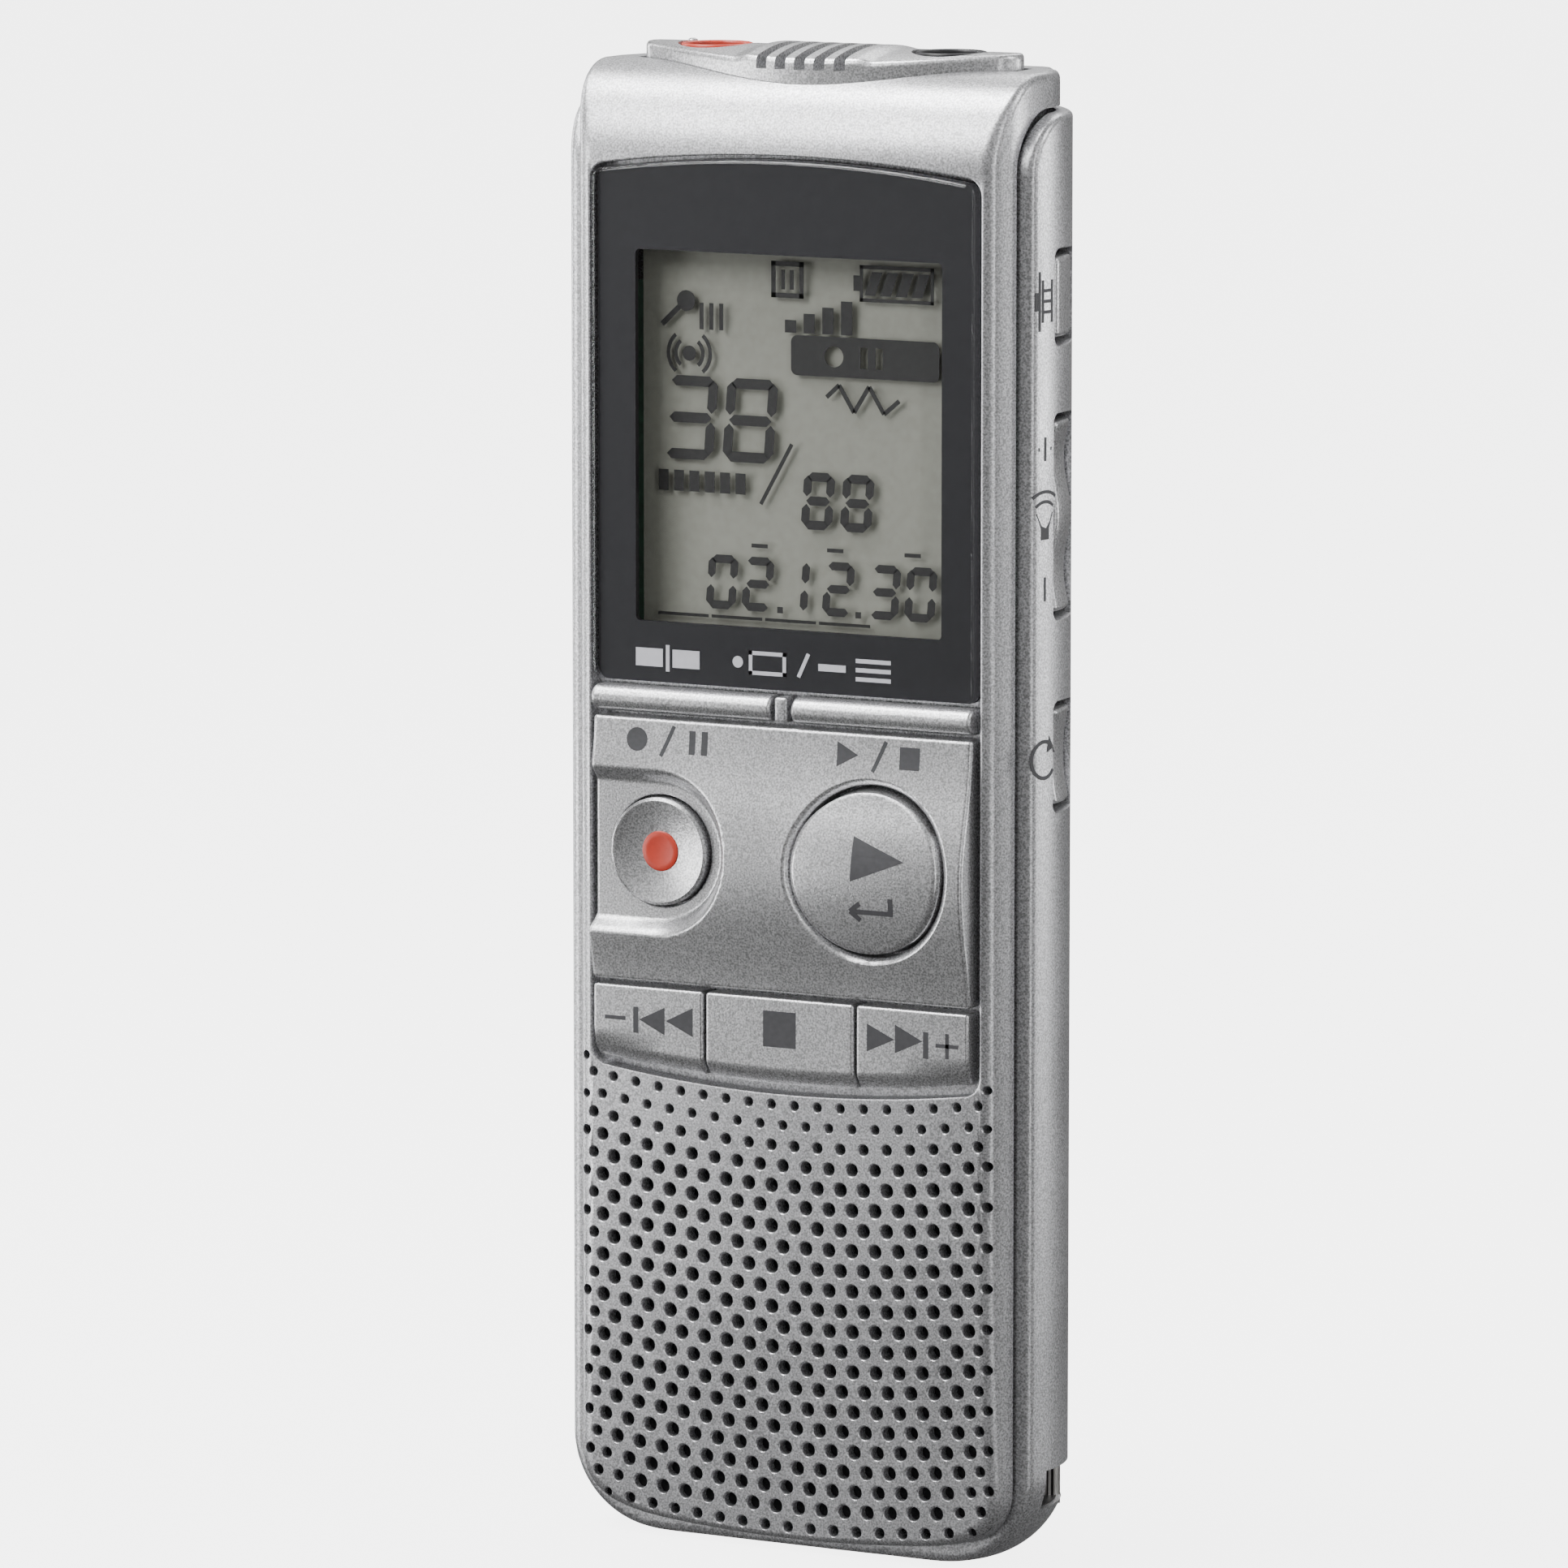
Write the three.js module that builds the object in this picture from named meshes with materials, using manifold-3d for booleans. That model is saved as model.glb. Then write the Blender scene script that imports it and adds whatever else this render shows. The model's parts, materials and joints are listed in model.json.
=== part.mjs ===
// A handheld digital voice recorder, standing upright on its bottom end.
// Units are millimetres. +Z runs up the body, +X is to the right seen from the front, and -Y is the front.
// "Depth" is measured back from the flat of the front face, and "height" up from the bottom end.
import * as THREE from "three";
import { mergeVertices } from "three/addons/utils/BufferGeometryUtils.js";
import Module from "manifold-3d";

const wasm = await Module();
wasm.setup();

// ---- Driving dimensions ----
const CASE_DEPTH = 18.4;
const FACE_HALF = 17.65; // half the width of the front face
const WALL = 1.2;
const GAP = 0.3; // clearance between pieces that meet
const FACE_ARC = 103; // radius shared by the rows of curved edges on the front
const PLAY_PROUD = 2.2; // the play button is the foremost point
const FRONT_Y = (PLAY_PROUD - CASE_DEPTH) / 2; // centres the whole depth on the origin

// Side of the rear shell in plan: a tight arc that bulges out, then a wide arc round the back.
const SIDE_ARC = { x: 10.08, depth: 5.4, r: 9 };
const SIDE_TURN = 33; // degrees at which the tight arc hands over to the wide one
const HOOD_INSET = 0.85; // the front shell's top is set in from the rear shell by this
const SEAM_DEPTH = 2.2; // back edge of the front shell's side band

// Rolled-over top of the front shell, and the matching seam on the sides.
const ROLL = { depth: 5.3, height: 99.8, across: 5.3, up: 6.6 };
const BACK_ROLL = { depth: 11.8, height: 98, across: 6.6, up: 9 };
const SEAM_ARC = { depth: 6.6, height: 99.5, r: 4.1 };

// Recess in the front for the lens, the keys and the control plate.
const RECESS = { half: 15.65, bottom: 33.35, top: 100.3, depth: 1.5 };
const FLOOR_BACK = 2.5;
const LENS = { half: 15.35, bottom: 62.25, top: 100, front: -0.35, back: 1.2 };
const WINDOW = { half: 12.3, bottom: 66.6, top: 93.2 };
const BAR_KEYS = { bottom: 60.05, top: 61.95, front: -0.6, inner: 0.9, outer: 15.3 };
const PLATE = { half: 15.25, bottom: 40.7, top: 59.75, front: -0.3, back: 1.2 };
const BULGE = { height: 49.5, rise: 1.6, above: 10.1, below: 11.6 };
const RECORD = { x: -9.85, height: 50.2, r: 3.95, front: -0.5, dish: 5.75 };
const PLAY = { x: 7.5, height: 50, r: 6.1 };
const KEYS = { top: 40.35, bottom: 34.05, half: 15.15, split: 6.15, front: -0.55 };
const STEM_END = 2.6;

// Top cap and the two jacks through it.
const CAP = { half: 14.95, reach: 5.2, round: 29.9, depth: 7.65, bottom: 104.9, top: 107.8, sag: 0.8 };
const JACK = { x: 9.4, bore: 1.85, ring: 2.6, hole: 2.85, top: 107.7, socketTop: 103.2, socketBottom: 91 };
const MIC_SLOTS = { count: 5, pitch: 1.56, width: 0.85, floor: 106.2, back: 9.6 };

// Battery bay in the back.
const CELL = { x: 5.35, depth: 11.3, r: 5.15, length: 43.5, nub: 1 };
const BAY = { half: 12.7, bottom: 33, top: 86 };
const TRAY = { half: 11.9, bottom: 32.6, top: 86.4, front: 5.5, back: 13.8, wall: 0.7 };

// Side controls, as ranges of height on the side wall.
const SIDE_SLOT = { front: 5, back: 9.3 };
const ERASE = { bottom: 87.9, top: 93.6 };
const VOLUME = { bottom: 68.5, top: 82.0 };
const REPEAT = { bottom: 54.8, top: 61.6 };
const HOLD_SLOT = { bottom: 70.2, top: 80.2 };
const HOLD = { bottom: 71, top: 75.4 };

const SPEAKER = { height: 18, r: 13 };
const BOARD = { half: 16.4, bottom: 33, top: 90.6, front: 4.6, back: 5.2 };
const CASE_SCREWS = [
  { name: "case_screw_left", x: -14.2, height: 12, head: 11.2 },
  { name: "case_screw_right", x: 14.2, height: 12, head: 11.2 },
  { name: "case_screw_top", x: 0, height: 98.5, head: 15.8 },
];
const BOARD_SCREWS = { x: 15, height: 45 };
const STRAP_EYE = { bottom: 4.3, top: 7.1, inner: 14.2, front: 4.3, back: 15.5 };
const STRAP_BAR = { x: 16.9, depth: 9.1, r: 0.72 };

// ---- Colours ----
const finish = (color, roughness, metalness) =>
  new THREE.MeshStandardMaterial({ color, roughness, metalness });
const SILVER = finish(0xb9babd, 0.38, 0.7);
const BLACK_GLOSS = finish(0x1c1c22, 0.12, 0);
const BLACK_PLASTIC = finish(0x222326, 0.55, 0);
const DISPLAY = finish(0xacac9b, 0.4, 0);
const RED = finish(0xbe3c2d, 0.45, 0);
const RUBBER = finish(0x4a4b4e, 0.85, 0);
const BOARD_GREEN = finish(0x1f5c38, 0.5, 0);
const STEEL = finish(0xb5b3ae, 0.3, 1);
const CELL_SLEEVE = finish(0x2f4a6e, 0.35, 0.2);
const CLOTH = finish(0x101012, 0.95, 0);

// ---- Solid helpers ----
function toSolid(geometry) {
  const bare = geometry.clone();
  bare.deleteAttribute("normal");
  bare.deleteAttribute("uv");
  const merged = mergeVertices(bare, 1e-4);
  return new wasm.Manifold(
    new wasm.Mesh({
      numProp: 3,
      vertProperties: new Float32Array(merged.attributes.position.array),
      triVerts: new Uint32Array(merged.index.array),
    }),
  );
}

function toGeometry(solid) {
  const mesh = solid.getMesh();
  const geometry = new THREE.BufferGeometry();
  geometry.setAttribute("position", new THREE.BufferAttribute(mesh.vertProperties, 3));
  geometry.setIndex(new THREE.BufferAttribute(mesh.triVerts, 1));
  geometry.computeVertexNormals();
  return geometry;
}

const join = (first, ...rest) => rest.reduce((all, next) => all.add(next), first);
const cut = (first, ...rest) => rest.reduce((left, tool) => left.subtract(tool), first);
const common = (first, ...rest) => rest.reduce((both, next) => both.intersect(next), first);

function extruded(points, length) {
  const shape = new THREE.Shape(points.map(([u, v]) => new THREE.Vector2(u, v)));
  return new THREE.ExtrudeGeometry(shape, { depth: length, bevelEnabled: false });
}

// A front-view outline of [x, height] points, between two depths.
function slab(points, front, back) {
  const geometry = extruded(points, back - front);
  geometry.rotateX(Math.PI / 2).translate(0, FRONT_Y + back, 0);
  return toSolid(geometry);
}

// A plan outline of [x, depth] points, between two heights.
function pillar(points, bottom, top) {
  return toSolid(extruded(points, top - bottom).translate(0, FRONT_Y, bottom));
}

// A side profile of [depth, height] points, from one x to another.
function rail(points, left, right) {
  const turn = new THREE.Matrix4().makeBasis(
    new THREE.Vector3(0, 1, 0),
    new THREE.Vector3(0, 0, 1),
    new THREE.Vector3(1, 0, 0),
  );
  return toSolid(extruded(points, right - left).applyMatrix4(turn).translate(left, FRONT_Y, 0));
}

function block(left, right, front, back, bottom, top) {
  const geometry = new THREE.BoxGeometry(right - left, back - front, top - bottom);
  geometry.translate((left + right) / 2, FRONT_Y + (front + back) / 2, (bottom + top) / 2);
  return toSolid(geometry);
}

// Round rods: into the depth, upright, and across the width.
function rodInto(x, height, r, front, back, sides = 24) {
  const geometry = new THREE.CylinderGeometry(r, r, back - front, sides);
  return toSolid(geometry.translate(x, FRONT_Y + (front + back) / 2, height));
}

function rodUp(x, depth, r, bottom, top, sides = 24) {
  const geometry = new THREE.CylinderGeometry(r, r, top - bottom, sides);
  return toSolid(geometry.rotateX(Math.PI / 2).translate(x, FRONT_Y + depth, (bottom + top) / 2));
}

// A turned piece from [radius, height] points, with its axis upright.
function turned(points, x, depth, sides = 24) {
  const profile = points.map(([r, h]) => new THREE.Vector2(r, h));
  const geometry = new THREE.LatheGeometry(profile, sides);
  return toSolid(geometry.rotateX(Math.PI / 2).translate(x, FRONT_Y + depth, 0));
}

// ---- Outline helpers ----
const radians = (degrees) => (degrees * Math.PI) / 180;

function arc(cx, cy, rx, ry, from, to, steps) {
  return Array.from({ length: steps + 1 }, (_, i) => {
    const angle = radians(from + ((to - from) * i) / steps);
    return [cx + rx * Math.cos(angle), cy + ry * Math.sin(angle)];
  });
}

const mirrored = (half) => [...half, ...half.map(([u, v]) => [-u, v]).reverse()];
const rect = (left, right, bottom, top) => [[left, bottom], [right, bottom], [right, top], [left, top]];

// Height of an edge that curves with the face arc, low in the middle.
const smile = (middle, x) => middle + (x * x) / (2 * FACE_ARC);
const arch = (middle, x) => middle - (x * x) / (2 * FACE_ARC);
const steps = (from, to, count) => Array.from({ length: count + 1 }, (_, i) => from + ((to - from) * i) / count);

// Half outline, right side, with a curved bottom edge and a curved or flat top edge.
function frontHalf(half, bottom, top, corner, curvedTop) {
  const inside = half - corner;
  const topEdge = curvedTop ? arch(top, inside) : top;
  const upper = arc(inside, topEdge - corner, corner, corner, 0, 90, 5);
  const across = curvedTop ? steps(inside, 0, 5).slice(1).map((x) => [x, arch(top, x)]) : [[0, top]];
  const low = steps(0, inside, 5).slice(0, -1).map((x) => [x, smile(bottom, x)]);
  const lower = arc(inside, smile(bottom, inside) + corner, corner, corner, -90, 0, 5);
  return [...low, ...lower, ...upper, ...across];
}

function wholeOutline(half) {
  const right = half.filter(([x], i) => x > 1e-6 || i === 0 || i === half.length - 1);
  const left = right.slice(1, -1).map(([x, v]) => [-x, v]).reverse();
  return [...right, ...left];
}

// ---- Case ----
function wideArc() {
  const turn = radians(SIDE_TURN);
  const startX = SIDE_ARC.x + SIDE_ARC.r * Math.cos(turn);
  const startDepth = SIDE_ARC.depth + SIDE_ARC.r * Math.sin(turn);
  const r = (CASE_DEPTH - startDepth) / (1 - Math.sin(turn));
  return { x: startX - r * Math.cos(turn), depth: startDepth - r * Math.sin(turn), r };
}

// Plan of the rear shell, shrunk by an inset, open-ended at a front depth.
function rearPlan(inset, front) {
  const wide = wideArc();
  const tightR = SIDE_ARC.r - inset;
  const from = (Math.asin(Math.max(-1, (Math.max(front, 2.4) - SIDE_ARC.depth) / tightR)) * 180) / Math.PI;
  const tight = arc(SIDE_ARC.x, SIDE_ARC.depth, tightR, tightR, from, SIDE_TURN, 6);
  const back = arc(wide.x, wide.depth, wide.r - inset, wide.r - inset, SIDE_TURN, 90, 8).slice(1);
  return mirrored([[tight[0][0], front], ...tight, ...back]);
}

// Plan of the front shell: flat cheeks, then the rear plan set in.
function hoodPlan() {
  const tightR = SIDE_ARC.r - HOOD_INSET;
  const wide = wideArc();
  const from = (Math.acos((FACE_HALF - SIDE_ARC.x) / tightR) * 180) / Math.PI;
  const tight = arc(SIDE_ARC.x, SIDE_ARC.depth, tightR, tightR, from, SIDE_TURN, 3);
  const r = wide.r - HOOD_INSET;
  const back = arc(wide.x, wide.depth, r, r, SIDE_TURN, 90, 8).slice(1);
  return mirrored([[FACE_HALF, -5], ...tight, ...back]);
}

// How far the lower face leans back from the flat.
const leanBack = (height) => 0.64 * Math.pow(Math.max(0, 24.65 - height) / 21.2, 2);

function hoodProfile() {
  const lower = steps(-1, 24.65, 6).map((height) => [leanBack(height), height]);
  const roll = arc(ROLL.depth, ROLL.height, ROLL.across, ROLL.up, 180, 90, 8);
  const backDepth = BACK_ROLL.depth - 0.25;
  const back = arc(backDepth, BACK_ROLL.height + 0.4, BACK_ROLL.across - 0.6, BACK_ROLL.up - 1, 90, 0, 8);
  return [...lower, ...roll, ...back, [back.at(-1)[0], -1]];
}

// Side view of what belongs to the front shell: the band, and everything over the seam.
function frontRegion() {
  const r = SEAM_ARC.r + GAP;
  const seam = arc(SEAM_ARC.depth, SEAM_ARC.height, r, r, 180, 90, 6);
  return [[-3, -2], [SEAM_DEPTH, -2], ...seam, [25, SEAM_ARC.height + r], [25, 120], [-3, 120]];
}

function faceOutline() {
  return wholeOutline(frontHalf(FACE_HALF, 0.8, 120, 4.1, false));
}

// Plan of the top cap: two shallow arcs with blunt ends, grown by a clearance.
function capPlan(clearance) {
  const offset = CAP.round - CAP.reach;
  const r = CAP.round + clearance;
  const sweep = (Math.asin((CAP.half + clearance) / r) * 180) / Math.PI;
  const front = arc(0, CAP.depth + offset, r, r, -90 - sweep, -90 + sweep, 10);
  const back = arc(0, CAP.depth - offset, r, r, 90 - sweep, 90 + sweep, 10);
  return [...front, ...back];
}

function frontShell() {
  const outer = common(
    rail(hoodProfile(), -FACE_HALF - 1, FACE_HALF + 1),
    slab(faceOutline(), -2, 25),
    pillar(hoodPlan(), -1, 112),
    rail(frontRegion(), -20, 20),
  );
  const lowCavity = slab(wholeOutline(frontHalf(FACE_HALF - WALL, 2.1, 103.6, 3, false)), 2.2, 25);
  const grilleCavity = slab(wholeOutline(frontHalf(FACE_HALF - 2.2, 3, RECESS.bottom - 1.6, 2.5, false)), 1.6, 3);
  const highCavity = block(-FACE_HALF + WALL, FACE_HALF - WALL, FLOOR_BACK, 25, 32, 103.6);
  const floor = common(outer, block(-20, 20, -1, FLOOR_BACK, 31.8, 103.6));
  const shell = join(cut(outer, lowCavity, grilleCavity, highCavity), floor);
  const recess = slab(wholeOutline(frontHalf(RECESS.half, RECESS.bottom, RECESS.top, 1.3, true)), -3, RECESS.depth);
  const bridge = rail(rect(-0.5, FLOOR_BACK, BAR_KEYS.bottom, BAR_KEYS.top), -0.6, 0.6);
  const capPocket = pillar(capPlan(GAP), CAP.bottom - GAP, 112);
  const made = join(cut(shell, recess, capPocket), bridge, ...frontPosts());
  return cut(made, ...frontWindows(), ...frontPostHoles());
}

function frontWindows() {
  const through = (left, right, bottom, top) => block(left, right, -2, 4, bottom, top);
  return [
    through(-WINDOW.half - 0.2, WINDOW.half + 0.2, WINDOW.bottom - 0.4, WINDOW.top + 0.4),
    through(-13.5, 13.5, 42.2, 58.4),
    through(-13.5, 13.5, 35.6, 39.9),
    ...[-8, 8].map((x) => through(x - 3, x + 3, BAR_KEYS.bottom + 0.1, BAR_KEYS.top - 0.1)),
    ...[-JACK.x, JACK.x].map((x) => rodUp(x, CAP.depth, JACK.hole, 103, 107)),
  ];
}

const frontPosts = () => [
  ...CASE_SCREWS.map(({ x, height }) => rodInto(x, height, 1.7, 1.8, 7.4, 16)),
  ...[-1, 1].map((side) => rodInto(side * BOARD_SCREWS.x, BOARD_SCREWS.height, 1.35, 1.8, 4.3, 16)),
];

const frontPostHoles = () => [
  ...CASE_SCREWS.map(({ x, height }) => rodInto(x, height, 1, 4.4, 8, 12)),
  ...[-1, 1].map((side) => rodInto(side * BOARD_SCREWS.x, BOARD_SCREWS.height, 0.85, 2.8, 5, 12)),
];

function rearProfile(inset) {
  const corner = 7;
  const r = corner - inset;
  const lower = arc(CASE_DEPTH - corner, corner, r, r, -90, 0, 6);
  const stop = (Math.asin((103.6 - BACK_ROLL.height) / BACK_ROLL.up) * 180) / Math.PI;
  const upper = arc(BACK_ROLL.depth, BACK_ROLL.height, BACK_ROLL.across - inset, BACK_ROLL.up, 0, stop, 4);
  return { lower, upper };
}

function rearOuter() {
  const { lower, upper } = rearProfile(0);
  const seam = arc(SEAM_ARC.depth, SEAM_ARC.height, SEAM_ARC.r, SEAM_ARC.r, 90, 180, 6);
  const profile = [[SEAM_DEPTH + GAP, 0], ...lower, ...upper, ...seam];
  const half = [[0, 0], [8, 0], ...arc(12.6, 7.05, 6.5, 6.5, -90, 0, 8), [19.1, 120], [0, 120]];
  return common(
    rail(profile, -21, 21),
    slab(wholeOutline(half), 0, 25),
    pillar(rearPlan(0, SEAM_DEPTH), -1, 112),
  );
}

function rearInner() {
  const { lower, upper } = rearProfile(WALL);
  const profile = [[-1, WALL], ...lower, ...upper, [BACK_ROLL.depth, 120], [-1, 120]];
  const half = [[0, WALL], [8, WALL], ...arc(12.6, 7.05, 5.3, 5.3, -90, 0, 8), [17.9, 120], [0, 120]];
  return common(
    rail(profile, -21, 21),
    slab(wholeOutline(half), -1, 25),
    pillar(rearPlan(WALL, -1), -1, 130),
  );
}

function rearShell() {
  const outer = rearOuter();
  const bosses = CASE_SCREWS.map(({ x, height }) => common(rodInto(x, height, 2.6, 7.8, 25, 20), outer));
  const eye = STRAP_EYE;
  const eyeBlock = common(block(eye.inner - 1, 21, eye.front - 1, eye.back, 0.6, eye.top + 1.2), outer);
  const shell = join(cut(outer, rearInner()), ...bosses, eyeBlock);
  const sideSlots = [ERASE, VOLUME, REPEAT].map(({ bottom, top }) =>
    block(16, 21, SIDE_SLOT.front, SIDE_SLOT.back, bottom - 0.4, top + 0.4),
  );
  return cut(
    shell,
    block(-BAY.half, BAY.half, 12, 20, BAY.bottom, BAY.top),
    block(-21, -16, 5.5, 8.5, HOLD_SLOT.bottom, HOLD_SLOT.top),
    ...sideSlots,
    ...CASE_SCREWS.map(({ x, height }) => rodInto(x, height, 1, 7, 20, 12)),
    ...CASE_SCREWS.map(({ x, height, head }) => rodInto(x, height, 1.9, head - GAP, 20, 20)),
    block(eye.inner, 21, eye.front, 20, eye.bottom, eye.top),
    rodUp(STRAP_BAR.x, STRAP_BAR.depth, STRAP_BAR.r + 0.1, eye.bottom - 0.7, eye.top + 0.7, 16),
  );
}

function batteryCover() {
  const skin = cut(pillar(rearPlan(0, 5), 20, 100), pillar(rearPlan(WALL, -1), 19, 101));
  const inset = GAP;
  const panel = common(
    skin,
    block(-BAY.half + inset, BAY.half - inset, 10, 20, BAY.bottom + inset, BAY.top - inset),
  );
  const tabs = [-1, 1].map((side) => {
    const x = side * 4.5;
    return join(
      block(x - 1.5, x + 1.5, 15.8, 16.4, BAY.bottom - 1.2, BAY.bottom + 2),
      block(x - 1.5, x + 1.5, 15.8, 17.4, BAY.bottom + inset, BAY.bottom + 2),
    );
  });
  const thumbGrips = steps(79, 82.2, 4).map((height) => block(-4, 4, CASE_DEPTH - 0.35, 20, height, height + 0.4));
  return cut(join(panel, ...tabs), ...thumbGrips);
}

// ---- Front pieces ----
function displayLens() {
  const half = frontHalf(LENS.half, LENS.bottom, LENS.top, 1.1, true).filter(([, v]) => v > LENS.bottom + 2);
  return slab(wholeOutline([[0, LENS.bottom], [LENS.half, LENS.bottom], ...half]), LENS.front, LENS.back);
}

function barKey(side) {
  const r = (BAR_KEYS.top - BAR_KEYS.bottom) / 2;
  const middle = BAR_KEYS.bottom + r;
  const round = arc(BAR_KEYS.front + r, middle, r, r, 90, 270, 8);
  const profile = [...round, [1.2, BAR_KEYS.bottom], [1.2, BAR_KEYS.top]];
  const ends = [side * BAR_KEYS.inner, side * BAR_KEYS.outer].sort((a, b) => a - b);
  return join(rail(profile, ...ends), block(side * 8 - 2, side * 8 + 2, 1, STEM_END, middle - 0.6, middle + 0.6));
}

// Depth of the control plate's front surface at a height.
function plateFront(height) {
  const off = height - BULGE.height;
  const turn = (Math.PI / 2) * Math.min(1, Math.abs(off) / (off > 0 ? BULGE.above : BULGE.below));
  return PLATE.front - BULGE.rise * Math.cos(turn) ** 2;
}

function plateProfile(proud, bottom, top) {
  const front = steps(bottom, top, 12).map((height) => [plateFront(height) - proud, height]);
  return [...front, [PLATE.back, top], [PLATE.back, bottom]];
}

function controlPlate() {
  const plate = rail(plateProfile(0, PLATE.bottom, PLATE.top), -PLATE.half, PLATE.half);
  const dish = join(
    rodInto(RECORD.x, RECORD.height, RECORD.dish, -4, 0, 32),
    block(-20, RECORD.x, -4, 0, RECORD.height - RECORD.dish, RECORD.height + RECORD.dish),
  );
  return cut(
    plate,
    dish,
    rodInto(RECORD.x, RECORD.height, RECORD.r + 0.25, -4, 3, 32),
    rodInto(PLAY.x, PLAY.height, PLAY.r + 0.25, -4, 3, 32),
  );
}

function recordButton() {
  const cap = rodInto(RECORD.x, RECORD.height, RECORD.r, RECORD.front, PLATE.back, 32);
  const seat = rodInto(RECORD.x, RECORD.height, 1.7, RECORD.front - 1, 0.1, 24);
  return cut(join(cap, rodInto(RECORD.x, RECORD.height, 1.5, 1, STEM_END, 12)), seat);
}

const recordDot = () => rodInto(RECORD.x, RECORD.height, 1.45, RECORD.front, -0.15, 24);

function playButton() {
  const cap = common(
    rodInto(PLAY.x, PLAY.height, PLAY.r, -4, PLATE.back, 36),
    rail(plateProfile(0.3, PLATE.bottom, PLATE.top), -PLATE.half, PLATE.half),
  );
  return join(cap, rodInto(PLAY.x, PLAY.height, 1.5, 1, STEM_END, 12));
}

function lowerKey(left, right) {
  const bottomEdge = steps(left, right, 4).map((x) => [x, smile(KEYS.bottom, x)]);
  const outline = [...bottomEdge, [right, KEYS.top], [left, KEYS.top]];
  const base = slab(outline, KEYS.front, 1.2);
  const slope = [[KEYS.front - 1, 30], [0.1, 30], [0.1, KEYS.bottom + 0.2], [KEYS.front - 1, 36.9]];
  const chamfer = rail(slope, left - 1, right + 1);
  const middle = (left + right) / 2;
  return join(cut(base, chamfer), block(middle - 1.5, middle + 1.5, 1, STEM_END, 36.4, 39.2));
}

// ---- Top ----
function topCap() {
  const { depth, top, sag, reach } = CAP;
  const r = (reach * reach + sag * sag) / (2 * sag);
  const sweep = (Math.asin((reach + 0.4) / r) * 180) / Math.PI;
  const crown = arc(depth, top - r, r, r, 90 + sweep, 90 - sweep, 10);
  const profile = [[depth - reach - 0.4, CAP.bottom - 1], ...crown, [depth + reach + 0.4, CAP.bottom - 1]];
  const body = common(pillar(capPlan(0), CAP.bottom, top + 1), rail(profile, -CAP.half - 1, CAP.half + 1));
  const first = (-(MIC_SLOTS.count - 1) / 2) * MIC_SLOTS.pitch;
  const slots = steps(first, -first, MIC_SLOTS.count - 1).map((x) =>
    block(x - MIC_SLOTS.width / 2, x + MIC_SLOTS.width / 2, 0, MIC_SLOTS.back, MIC_SLOTS.floor, top + 1),
  );
  const dot = rodUp(-12.1, 8.9, 0.35, CAP.top - 1, CAP.top, 8);
  const holes = [-JACK.x, JACK.x].map((x) => rodUp(x, depth, JACK.hole, CAP.bottom - 1, top + 1));
  return cut(join(body, dot), ...slots, ...holes);
}

function jackRing(x) {
  const low = JACK.socketTop + GAP;
  const { ring, bore, top } = JACK;
  const outside = [[ring, low], [ring, top - 0.15], [ring - 0.15, top]];
  return turned([[bore, low], ...outside, [bore, top], [bore, low]], x, CAP.depth);
}

function jackSocket(x) {
  const body = rodUp(x, CAP.depth, 3, JACK.socketBottom, JACK.socketTop, 20);
  return cut(body, rodUp(x, CAP.depth, JACK.bore, JACK.socketBottom + 1.5, JACK.socketTop + 1, 16));
}

const microphone = (x) => rodUp(x, CAP.depth - 0.4, 2, 101.4, 103.2, 20);

// ---- Side pieces ----
// A side button's outer face swells by "swell" at each of the given heights.
function sideButton({ bottom, top }, peaks, swell) {
  const face = (height) =>
    18.45 + swell * Math.max(...peaks.map((peak) => Math.exp(-(((height - peak) / 2.4) ** 2))));
  const edge = steps(bottom, top, 12).map((height) => [face(height), height]);
  const outline = [[17, bottom], ...edge, [17, top]];
  return slab(outline, SIDE_SLOT.front + GAP, SIDE_SLOT.back - GAP);
}

const middleOf = ({ bottom, top }) => (bottom + top) / 2;

function holdSlider() {
  const outline = rect(-19.05, -16.9, HOLD.bottom, HOLD.top);
  const grips = steps(HOLD.bottom + 0.8, HOLD.top - 1.2, 3).map((height) =>
    block(-20, -18.8, 5, 9, height, height + 0.4),
  );
  return cut(slab(outline, 5.8, 8.2), ...grips);
}

function strapBar() {
  const { x, depth, r: outer } = STRAP_BAR;
  const ridges = Array.from({ length: 24 }, (_, i) => {
    const angle = (i * Math.PI) / 12;
    const r = i % 2 ? outer : outer - 0.12;
    return [x + r * Math.cos(angle), depth + r * Math.sin(angle)];
  });
  return pillar(ridges, STRAP_EYE.bottom - 0.6, STRAP_EYE.top + 0.6);
}

// ---- Inside ----
function mainBoard() {
  const { half, bottom, top, front, back } = BOARD;
  const holes = [-1, 1].map((side) => rodInto(side * BOARD_SCREWS.x, BOARD_SCREWS.height, 0.95, 4, 6, 12));
  return cut(block(-half, half, front, back, bottom, top), ...holes);
}

const keypadMembrane = () => block(-13.2, 13.2, 2.95, 3.3, 34.6, 62.6);

function caseScrew({ x, height, head }) {
  const slot = block(x - 1.2, x + 1.2, head + 0.5, head + 2, height - 0.2, height + 0.2);
  const crossSlot = block(x - 0.2, x + 0.2, head + 0.5, head + 2, height - 1.2, height + 1.2);
  const body = join(rodInto(x, height, 1.6, head, head + 1, 20), rodInto(x, height, 0.7, 5, head + 0.1, 10));
  return cut(body, slot, crossSlot);
}

function boardScrew(x) {
  const { height } = BOARD_SCREWS;
  return join(rodInto(x, height, 1.25, 5.6, 6.2, 16), rodInto(x, height, 0.6, 3.1, 5.7, 10));
}

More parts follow.
